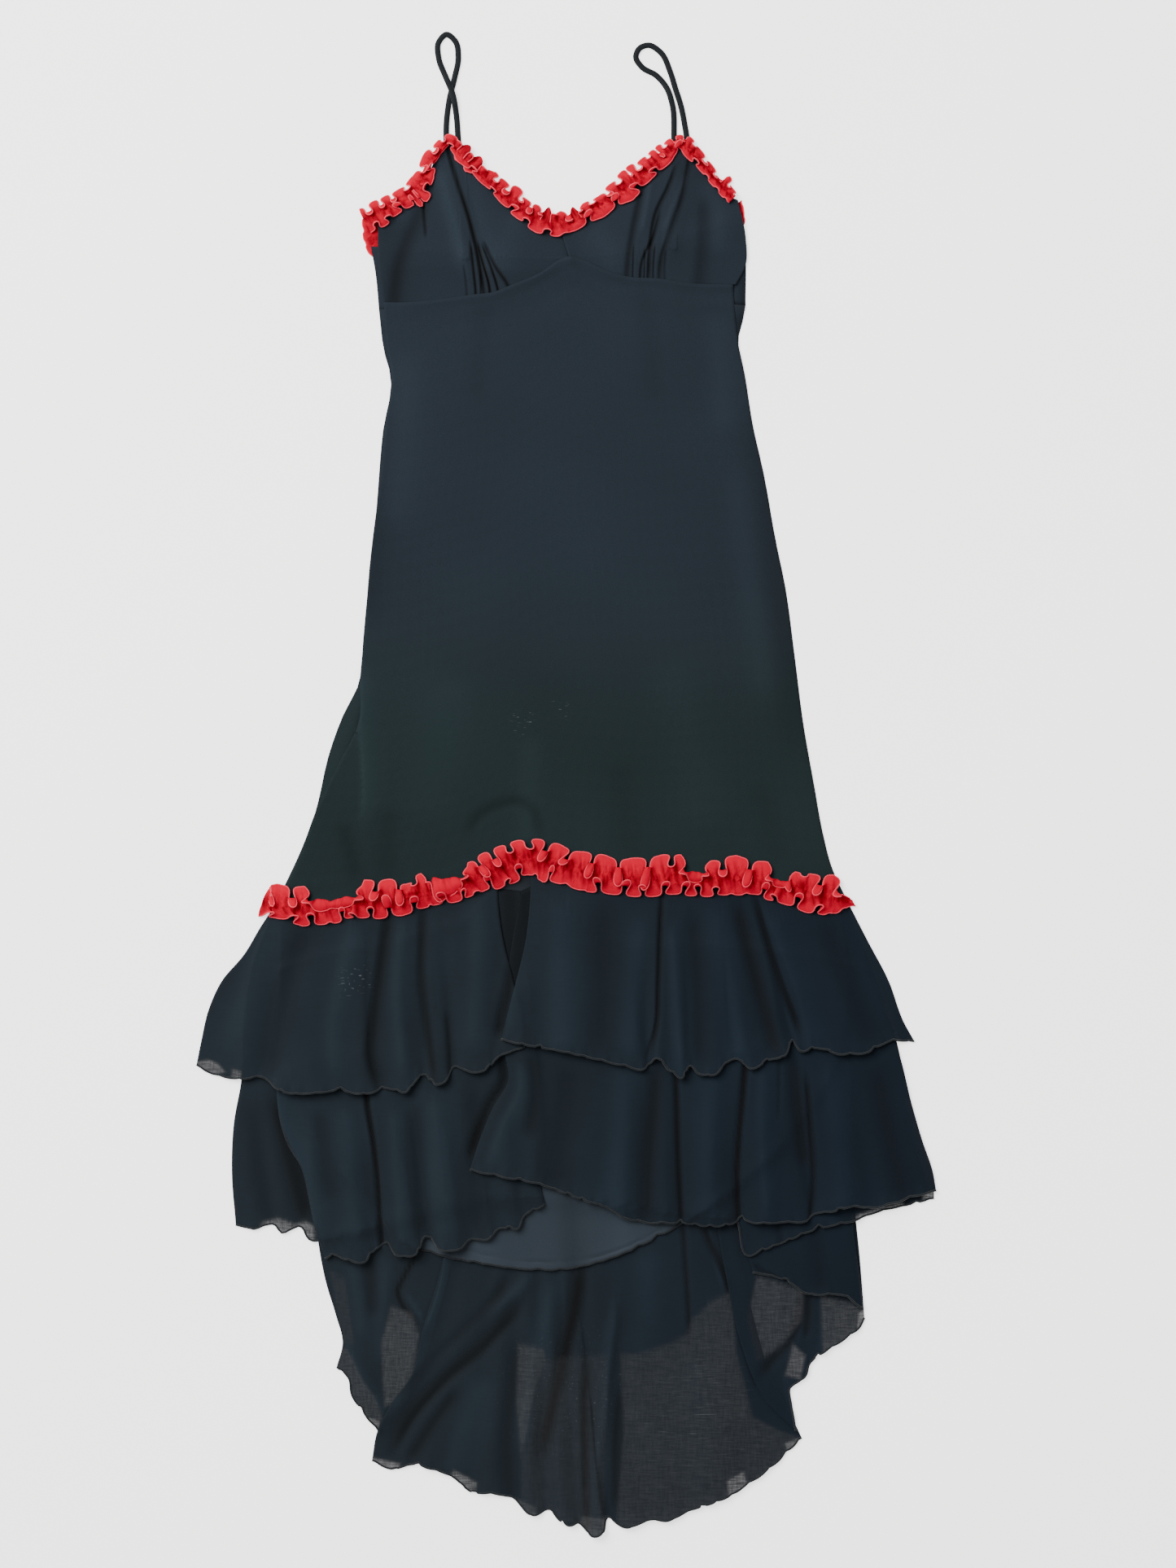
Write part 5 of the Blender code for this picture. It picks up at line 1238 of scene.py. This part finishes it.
def flounce(node_name):
    """A flounce: its folds rise from its seam to its hem by the table's ridge heights, with creases laid in.

    At the level v, from 0 at the seam to 1 at the hem, a point is lifted by its ridge height times
    ((v - fold start) / (1 - fold start)) to the power 1.2, plus puff * (1 - 0.6 v), which grows from nothing
    over the first quarter, plus its creases and the frill of its hem.
    """
    rows, seam, edges, size, folds, sheer, kind, lap, seed, fold_start, puff, rests_on = FLOUNCES[node_name]
    levels = crowded(size[1], HEM_ROWS)
    table = smooth(rows, np.linspace(0, 1, size[0]))
    top = on_line(seam, table[:, 0])
    top[:, 1] -= lap
    flat = patch(top, table[:, 1:3], edges[0], edges[1], levels, table[:, 3], fade=3.0)
    flat, frill = frilled(flat, seed)
    rise = np.clip((levels - fold_start) / (1 - fold_start), 0, 1) ** 1.2
    loft = puff * eased(levels * 4) * (1 - 0.6 * levels)
    crease, tone = creases(flat, folds)
    lift = rise[:, None] * np.maximum(table[:, 4], 0) + loft[:, None] + crease + frill
    grid = settle(flat, lift)
    # The fold mark is painted shade in the creases and a painted highlight on the ridges
    marks = {"sheer": sheerness(flat, sheer), "fold": tone}
    piece = cloth_piece(node_name, grid, finish(kind), marks)
    roll = sizes().hem_roll * 1000
    path = grid[-1] + (0, 0, HEM_LIFT)
    # What lies over the hem clears its roll too
    pile.press(grid[-3:] + (0, 0, WALL + 0.5 * roll))
    hem = roll_piece(
        f"{node_name}_hem", [path], roll, roll * ROLL_FLATNESS, ROLL_SIDES, finish("roll"))


def body_panel(node_name, top_seam, bottom_seam, left, right, size, folds, top_lap):
    """A panel of the bodice or skirt between two seams, with its creases.

    A panel with creases stands off what lies below by SKIRT_LOFT * sin(pi * share across) to the power 0.6,
    which it reaches over its first tenth, and one without lies flat on it.
    """
    along = np.linspace(0, 1, size[0])
    top = smooth(top_seam, along) - (0, top_lap)
    bottom = smooth(bottom_seam, along)
    flat = patch(top, bottom, left, right, np.linspace(0, 1, size[1]))
    crease, tone = creases(flat, folds)
    loft = np.zeros(flat.shape[:2])
    if folds:
        stand = SINK + SKIRT_LOFT * np.sin(np.pi * along) ** 0.6
        loft += stand * eased(np.linspace(0, 1, size[1]) * 10)[:, None] - SINK
    grid = settle(flat, loft + crease)
    # The fold mark is painted shade in the creases and a painted highlight on the ridges
    piece = cloth_piece(node_name, grid, finish("crepe"), {"fold": tone})


def cup(node_name, rows, left, right, gathers, folds):
    """A bust cup: a low dome with gathers at the empire seam, where it goes under the skirt.

    With u across and v down, both from 0 to 1, the dome is CUP_DOME * sin(pi v) * sin(pi u) to the power
    0.7, and it stands off what lies below by CUP_LOFT more.
    """
    levels = crowded(CUP_POINTS[1], CUP_ROWS)
    across = crowded(CUP_POINTS[0], (gathers,))
    table = smooth(rows, across)
    out = outwards(np.gradient(table[:, :2], axis=0))
    table[:, :2] += out * TUCK_UP * np.clip(10 * np.minimum(across, 1 - across), 0.4, 1)[:, None]
    bottom = on_line(EMPIRE_SEAM, table[:, 2])
    bottom[:, 1] += LAP
    flat = patch(table[:, :2], bottom, left, right, levels, fade=2.0)
    dome = CUP_DOME * np.sin(np.pi * levels)[:, None] * np.sin(np.pi * across) ** 0.7
    crease, tone = creases(flat, folds)
    grid = settle(flat, dome + CUP_LOFT + crease, CUP_TENTS)
    # The fold mark is painted shade in the creases and a painted highlight on the ridges
    piece = cloth_piece(node_name, grid, finish("crepe"), {"fold": tone})


def strap(node_name, line, turn):
    """A rouleau strap: a flattened tube up from the cup, round its loop and back over its own first run.

    Its first run, up to the turn, is pressed into the pile, and the rest lies on that.
    """
    length = run_of(np.array(line, float))[-1]
    middle = smooth(line, np.linspace(0, 1, int(length / STRAP_STEP)))
    width, thick = sizes().strap_width * 1000, sizes().strap_thickness * 1000
    aside = outwards(np.gradient(middle, axis=0)) * width / 2
    ribbon = np.stack([middle - aside, middle, middle + aside])
    distance = run_of(middle)

    def topped(ground):
        """The ribbon's points on top of a strap that lies at these heights."""
        return np.concatenate([ribbon, np.tile(ground + thick, (3, 1))[..., None]], axis=-1)

    ground = pile.rest(ribbon, STRAP_TENTS).max(0) + GAP
    pile.press(topped(ground)[:, distance < turn])
    again = pile.rest(ribbon, STRAP_TENTS).max(0) + GAP
    ground = np.where(distance > turn + STRAP_CROSSING, again, ground)
    for _ in range(6):
        ground[1:-1] = np.maximum(ground[1:-1], (ground[:-2] + ground[2:]) / 2)
    pile.press(topped(ground))
    path = np.column_stack([middle, ground + thick / 2])
    piece = roll_piece(
        f"{node_name}_rouleau", [path], width, thick, STRAP_SIDES, finish("strap"))
    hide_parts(node_name)


def lobed_side(distance, middle, lobes):
    """One side of a ruffle: how its edge lies between the listed lobes.

    With a number that grows by 1 from each lobe's tip to the next, the lobes lie flat at whole numbers.
    Between them, over no more than NOTCH, the turn goes once round, and the cloth stands up in a fin,
    ((1 - cos turn) / 2) to the power 1.25, as deep and as far aslant as the table says. The notch is drawn
    together along the line by 0.15 sin(2 turn) + 0.09 sin(turn) of its width. A lobe is rounded: its edge
    falls away from its tip with the square of the distance.
    """
    lobe = np.array(lobes, float)
    from_middle = np.linalg.norm(chart(lobe[:, :2])[:, None] - middle, axis=-1)
    nearest = from_middle.argmin(1)
    order = np.argsort(nearest, kind="stable")
    lobe = lobe[order]
    where = distance[nearest][order] + np.arange(len(order)) * 1e-3
    count = np.arange(len(where))
    number = np.interp(distance, where, count)
    number -= np.maximum(where[0] - distance, 0) / LAST_LOBE
    number += np.maximum(distance - where[-1], 0) / LAST_LOBE
    notch = np.clip(np.floor(number).astype(int), 0, len(lobe) - 1)
    apart = np.append(np.clip(np.diff(where), *LOBES_APART), LAST_LOBE)[notch]
    spacing = np.minimum(apart, NOTCH)
    past = number - np.floor(number)
    turn = 2 * np.pi * (np.floor(number) + np.clip(0.5 + (past - 0.5) * apart / spacing, 0, 1))
    fin = ((1 - np.cos(turn)) / 2) ** 1.25
    left = lobe[notch, 2]
    depth = np.clip(1 - left, 0, 1.6)
    from_tip = np.minimum(past, 1 - past) * apart
    full = np.interp(number, count, from_middle.min(1)[order])
    full -= np.minimum(ROUNDING * from_tip ** 2, MOST_ROUNDED)
    drawn = 0.15 * np.sin(2 * turn) + 0.09 * np.sin(turn)
    return {
        "fin": fin * np.clip(depth * 2, 0, 1),
        "tall": np.sqrt(np.clip(1 - left ** 2, 0, 1)) * np.clip(spacing / TALL_NOTCH, 0.55, 1.2),
        "full": full,
        "left": left,
        "within": np.clip(depth * 1.3, 0, 1) * fin,
        "shift": spacing * drawn * np.clip(depth * 1.5, 0.2, 1),
        "lean": lobe[notch, 3] * spacing * fin,
        "turn": turn,
        "folded": np.interp(number, count, lobe[:, 4]),
    }


def evened(rows, times):
    """Rows of a table evened out that many times: half of its own value and a quarter of each neighbour's."""
    for _ in range(times):
        rows[1:-1] = (rows[:-2] + 2 * rows[1:-1] + rows[2:]) / 4
    return rows


def ruffle(node_name, rows, upper_lobes, lower_lobes, stand, step, rests_on, past_ends=(0, 0), slant=0.0):
    """A strip gathered on its middle line, whose two edges are thrown into lobes.

    With s along the middle line and t from 0 at the stitches to 1 at an edge, a point lies at middle(s) +
    out * reach(s, t), moved along the line by shift(s) * t squared + lean(s) * t to the power 1.5. The reach
    is full(s) * t to the power 0.95 in a lobe, and in a notch full(s) * (left * t to the power 1.6 +
    (1 - left) / 2 * sin(pi t)). A point is raised by stand * tall(s) * fin(s) * (1.3 t - 0.3 t squared), by a
    puff of the lobes between stitches and edge, and by fine puckers that die out towards the edge. Where a
    lobe is folded over, it lies out to its full reach at t = 0.4 and comes back over or under the stitches
    from there. The ends go past the middle line's ends by past_ends, the upper edge less and the lower edge
    more by the slant.
    """
    table = np.array(rows, float)
    run = run_of(table[:, :2])
    count = int(run[-1] / step)
    middle = evened(smooth(table[:, :2], np.linspace(0, 1, count)), LINE_EVENED)
    heading = unit(evened(np.gradient(middle, axis=0), HEADING_EVENED))
    out = outwards(heading)
    distance = run_of(middle)
    t = np.linspace(0, 1, STANDING_ROWS if stand > LOW_STAND else FLAT_ROWS)[1:, None]
    fullness = min(1, stand * PUFF_PER_METRE)
    halves = []
    for side, lobes in ((1, upper_lobes), (-1, lower_lobes)):
        lie = lobed_side(distance, middle, lobes)
        along = lie["shift"] * t ** 2 + lie["lean"] * t ** 1.5
        back = np.abs(lie["folded"]) * (1 - lie["fin"])
        standing = lie["left"] * t ** 1.6 + 0.5 * (1 - lie["left"]) * np.sin(np.pi * t)
        reach = (1 - lie["within"]) * t ** 0.95 + lie["within"] * standing
        reach = lie["full"] * ((1 - back) * reach + back * np.sin(np.pi * t / 0.8))
        flat = middle + out * side * reach[..., None] + heading * along[..., None]
        # Wrinkles run from the stitches outwards and bend as they go
        wrinkle = uneven(distance + 4 * side * t, WRINKLE, 1.7 * side + 2)
        pucker = 1.5 * wrinkle * (1 - t) ** 1.2 * np.sqrt(t) * fullness
        ripple = 0.35 * np.sin(2 * lie["turn"] + 1.3 * side) * t ** 2
        rise = stand * 1000 * lie["tall"] * lie["fin"] * (1.3 * t - 0.3 * t ** 2)
        puff = (1 + 2.0 * np.sin(np.pi * t)) * (1 - lie["fin"] * t) * fullness
        over = 2.4 * eased((t - 0.3) * 2)
        under = 2.4 * np.exp(-((t - 0.25) / 0.2) ** 2) - puff * eased((t - 0.4) * 3)
        puff = puff + back * np.where(lie["folded"] > 0, over, under)
        # The deep mark is painted shade on the walls of the standing fins and down in the wrinkles' troughs
        deep = lie["fin"] * (1 - lie["fin"]) * 3.2 * np.sin(np.pi * np.clip(t + 0.15, 0, 1))
        deep = deep + np.clip(-1.4 * wrinkle - 0.2, 0, 1) * (1 - t)
        halves.append((flat, rise + puff + pucker + ripple, np.clip(deep, 0, 1)))
    (upper, upper_rise, upper_deep), (lower, lower_rise, lower_deep) = halves
    flat = np.concatenate([upper[::-1], middle[None], lower])
    upwards = np.concatenate([t[::-1], [[0]], -t])
    for end, amount in ((0, -past_ends[0]), (-1, past_ends[1])):
        longer = amount * np.exp(-np.abs(distance - distance[end]) / 5) * (1 - slant * upwards)
        flat = flat + heading * longer[..., None]
    lift = np.concatenate([upper_rise[::-1], (upper_rise[:1] + lower_rise[:1]) / 2, lower_rise])
    between = (upper_deep[:1] + lower_deep[:1]) / 2
    deep = np.concatenate([upper_deep[::-1], between, lower_deep])
    reach = np.concatenate([t[::-1], [[0]], t]) * np.ones((1, count))
    height = pile.rest(flat, RUFFLE_TENTS) + GAP + np.maximum(lift, 0)
    grid = np.concatenate([flat, height[..., None]], axis=-1)
    marks = {"along": np.tile(distance / 1000, (len(flat), 1)), "reach": reach, "deep": deep}
    piece = cloth_piece(node_name, grid, finish("ruffle"), marks)
    thread = sizes().edge_thread * 1000
    edge = roll_piece(
        f"{node_name}_edge", [grid[row] + (0, 0, EDGE_LIFT) for row in (0, -1)], thread,
        thread * ROLL_FLATNESS, ROLL_SIDES, finish("edge"))
    pile.press(grid + (0, 0, WALL))


def evenly_placed(rows, side):
    """Lobe tips for a ruffle that hardly shows: one every 12 mm or so on one side, at its table's reach."""
    table = np.array(rows, float)
    run = run_of(table[:, :2])
    where = np.arange(5, run[-1] - 4, HIDDEN_LOBE)
    where += 2 * uneven(where, 31, side)
    line = np.stack([np.interp(where, run, table[:, i]) for i in (0, 1)], 1)
    reach = np.interp(where, run, table[:, 2 if side > 0 else 3])
    out = outwards(np.gradient(line, axis=0))
    tips = (line + side * reach[:, None] * out) / CHART_STEP + (CHART_MIDDLE, CHART_TOP)
    return np.column_stack([tips, np.tile(HIDDEN_NOTCH, (len(where), 1))])


class DRESS_OT_lay_back(bpy.types.Operator):
    """Lays the back: both ruffles behind, the bodice and the skirt"""

    bl_idname = "dress.lay_back"
    bl_label = "Lay the back"

    def execute(self, context):
        back_ruffles = {"neck_ruffle_back": NECK_RUFFLE_BACK, "hip_ruffle_back": HIP_RUFFLE_BACK}
        for node_name, rows in back_ruffles.items():
            upper, lower = evenly_placed(rows, 1), evenly_placed(rows, -1)
            ruffle(node_name, rows, upper, lower, HIDDEN_STAND, HIDDEN_STEP, ["floor"])
        body_panel("bodice_back", BACK_NECKLINE, EMPIRE_SEAM, BODICE_LEFT, BODICE_RIGHT, size=(30, 16),
                   folds=(), top_lap=0)
        body_panel("skirt_back", EMPIRE_SEAM, HIP_SEAM, BACK_LEFT, BACK_RIGHT, size=(30, 40),
                   folds=(), top_lap=LAP)
        return {"FINISHED"}


class DRESS_OT_lay_train(bpy.types.Operator):
    """Lays the long back flounce in its four folded parts"""

    bl_idname = "dress.lay_train"
    bl_label = "Lay the train"

    def execute(self, context):
        for node_name in ("train_left", "train_centre", "train_right", "train_turn"):
            flounce(node_name)
        return {"FINISHED"}


class DRESS_OT_lay_back_flounce(bpy.types.Operator):
    """Lays the back's short flounce, whose hem shows at both sides"""

    bl_idname = "dress.lay_back_flounce"
    bl_label = "Lay the back flounce"

    def execute(self, context):
        flounce("flounce_back")
        return {"FINISHED"}


class DRESS_OT_lay_lining(bpy.types.Operator):
    """Lays the lining of the skirt"""

    bl_idname = "dress.lay_lining"
    bl_label = "Lay the lining"

    def execute(self, context):
        flounce("lining_skirt")
        return {"FINISHED"}


class DRESS_OT_lay_lower_flounces(bpy.types.Operator):
    """Lays the front's lower flounce, its right half over its left"""

    bl_idname = "dress.lay_lower_flounces"
    bl_label = "Lay the lower flounces"

    def execute(self, context):
        flounce("flounce_lower_left")
        flounce("flounce_lower_right")
        return {"FINISHED"}


class DRESS_OT_lay_upper_flounces(bpy.types.Operator):
    """Lays the front's upper flounce, its right half over its left"""

    bl_idname = "dress.lay_upper_flounces"
    bl_label = "Lay the upper flounces"

    def execute(self, context):
        flounce("flounce_upper_left")
        flounce("flounce_upper_right")
        return {"FINISHED"}


class DRESS_OT_fit_straps(bpy.types.Operator):
    """Lays both rouleau straps in their loops"""

    bl_idname = "dress.fit_straps"
    bl_label = "Fit the straps"

    def execute(self, context):
        strap("strap_left", STRAP_LEFT_LINE, STRAP_LEFT_TURN)
        strap("strap_right", STRAP_RIGHT_LINE, STRAP_RIGHT_TURN)
        return {"FINISHED"}


class DRESS_OT_gather_cups(bpy.types.Operator):
    """Lays both cups, gathered into the empire seam"""

    bl_idname = "dress.gather_cups"
    bl_label = "Gather the cups"

    def execute(self, context):
        cup("cup_left", CUP_LEFT, CUP_LEFT_SIDE, CUP_LEFT_MIDDLE, CUP_LEFT_GATHERS, CUP_LEFT_CREASES)
        cup("cup_right", CUP_RIGHT, CUP_RIGHT_MIDDLE, CUP_RIGHT_SIDE, CUP_RIGHT_GATHERS, CUP_RIGHT_CREASES)
        return {"FINISHED"}


class DRESS_OT_lay_front_skirt(bpy.types.Operator):
    """Lays the front skirt, from the empire seam to the hips"""

    bl_idname = "dress.lay_front_skirt"
    bl_label = "Lay the front skirt"

    def execute(self, context):
        body_panel("skirt_front", EMPIRE_SEAM, HIP_SEAM, FRONT_LEFT, FRONT_RIGHT, size=(130, 160),
                   folds=SKIRT_CREASES, top_lap=0)
        return {"FINISHED"}


class DRESS_OT_sew_neck_ruffle(bpy.types.Operator):
    """Sews the ruffle on the neckline"""

    bl_idname = "dress.sew_neck_ruffle"
    bl_label = "Sew the neck ruffle"

    def execute(self, context):
        ruffle("neck_ruffle_front", NECK_RUFFLE, NECK_UPPER_LOBES, NECK_LOWER_LOBES, sizes().neck_stand,
               step=0.7, rests_on=["cup_left_cloth", "cup_right_cloth"], past_ends=(4, 3))
        return {"FINISHED"}


class DRESS_OT_sew_hip_ruffle(bpy.types.Operator):
    """Sews the ruffle on the hip seam"""

    bl_idname = "dress.sew_hip_ruffle"
    bl_label = "Sew the hip ruffle"

    def execute(self, context):
        ruffle("hip_ruffle_front", HIP_RUFFLE, HIP_UPPER_LOBES, HIP_LOWER_LOBES, sizes().hip_stand,
               step=0.75, past_ends=(5, 3), slant=1.0,
               rests_on=["skirt_front_cloth", "flounce_upper_left_cloth", "flounce_upper_right_cloth"])
        return {"FINISHED"}


class DRESS_OT_set_stage(bpy.types.Operator):
    """Sets the floor, the soft light and the camera straight above the dress"""

    bl_idname = "dress.set_stage"
    bl_label = "Set the stage"

    def execute(self, context):
        scene = context.scene
        half = FLOOR_SIDE / 2
        sides = ((-half, -half), (half, -half), (half, half), (-half, half))
        corners = [(x, y, FLOOR_LEVEL) for x, y in sides]
        mesh = bpy.data.meshes.new("floor")
        mesh.from_pydata(corners, [], [(0, 1, 2, 3)])
        material, shader = plain_finish("matt pale floor", colours().floor, 0.9, 0.0)
        shader.inputs["Emission Color"].default_value = (1.0, 1.0, 1.0, 1)
        shader.inputs["Emission Strength"].default_value = FLOOR_GLOW
        mesh.materials.append(material)
        floor = bpy.data.objects.new("floor", mesh)
        scene.collection.objects.link(floor)
        world = bpy.data.worlds.new("soft sky")
        world.use_nodes = True
        background = world.node_tree.nodes["Background"]
        background.inputs["Color"].default_value = (1.0, 1.0, 1.0, 1)
        background.inputs["Strength"].default_value = SKY_STRENGTH
        scene.world = world
        lamp = bpy.data.lights.new("softbox", "AREA")
        lamp.shape = "SQUARE"
        lamp.size = SOFTBOX_SIDE
        lamp.energy = SOFTBOX_WATTS
        softbox = bpy.data.objects.new("softbox", lamp)
        softbox.location = SOFTBOX_PLACE
        softbox.rotation_euler = Vector(SOFTBOX_PLACE).to_track_quat("Z", "Y").to_euler()
        scene.collection.objects.link(softbox)
        view = bpy.data.cameras.new("camera")
        view.sensor_width = SENSOR
        view.lens = SENSOR * CAMERA_HEIGHT / (CHART_HEIGHT * CHART_STEP / 1000)
        view.clip_end = CAMERA_CLIP
        camera = bpy.data.objects.new("camera", view)
        camera.location = (*VIEW_MIDDLE, CAMERA_HEIGHT)
        scene.collection.objects.link(camera)
        scene.camera = camera
        return {"FINISHED"}


STEPS = (
    DRESS_OT_lay_back, DRESS_OT_lay_train, DRESS_OT_lay_back_flounce, DRESS_OT_lay_lining,
    DRESS_OT_lay_lower_flounces, DRESS_OT_lay_upper_flounces, DRESS_OT_fit_straps, DRESS_OT_gather_cups,
    DRESS_OT_lay_front_skirt, DRESS_OT_sew_neck_ruffle, DRESS_OT_sew_hip_ruffle, DRESS_OT_set_stage,
)


class DRESS_PT_pieces(bpy.types.Panel):
    """Lists the steps of laying the dress, with its sizes and colours"""

    bl_idname = "DRESS_PT_pieces"
    bl_label = "High-low dress"
    bl_space_type = "VIEW_3D"
    bl_region_type = "UI"
    bl_category = "Dress"

    def draw(self, context):
        column = self.layout.column()
        for group in (context.scene.dress_sizes, context.scene.dress_colours):
            for key in group.__annotations__:
                column.prop(group, key)
        for step in STEPS:
            column.operator(step.bl_idname)


CLASSES = (DressSizes, DressColours, *STEPS, DRESS_PT_pieces)


def register():
    """Adds the settings, the steps and the panel."""
    for each in CLASSES:
        bpy.utils.register_class(each)
    bpy.types.Scene.dress_sizes = bpy.props.PointerProperty(type=DressSizes)
    bpy.types.Scene.dress_colours = bpy.props.PointerProperty(type=DressColours)


def unregister():
    """Takes them out again."""
    del bpy.types.Scene.dress_colours
    del bpy.types.Scene.dress_sizes
    for each in reversed(CLASSES):
        bpy.utils.unregister_class(each)


def main():
    """Registers the steps and lays the whole dress."""
    register()
    for step in STEPS:
        getattr(bpy.ops.dress, step.bl_idname.split(".")[1])()


if __name__ == "__main__":
    main()
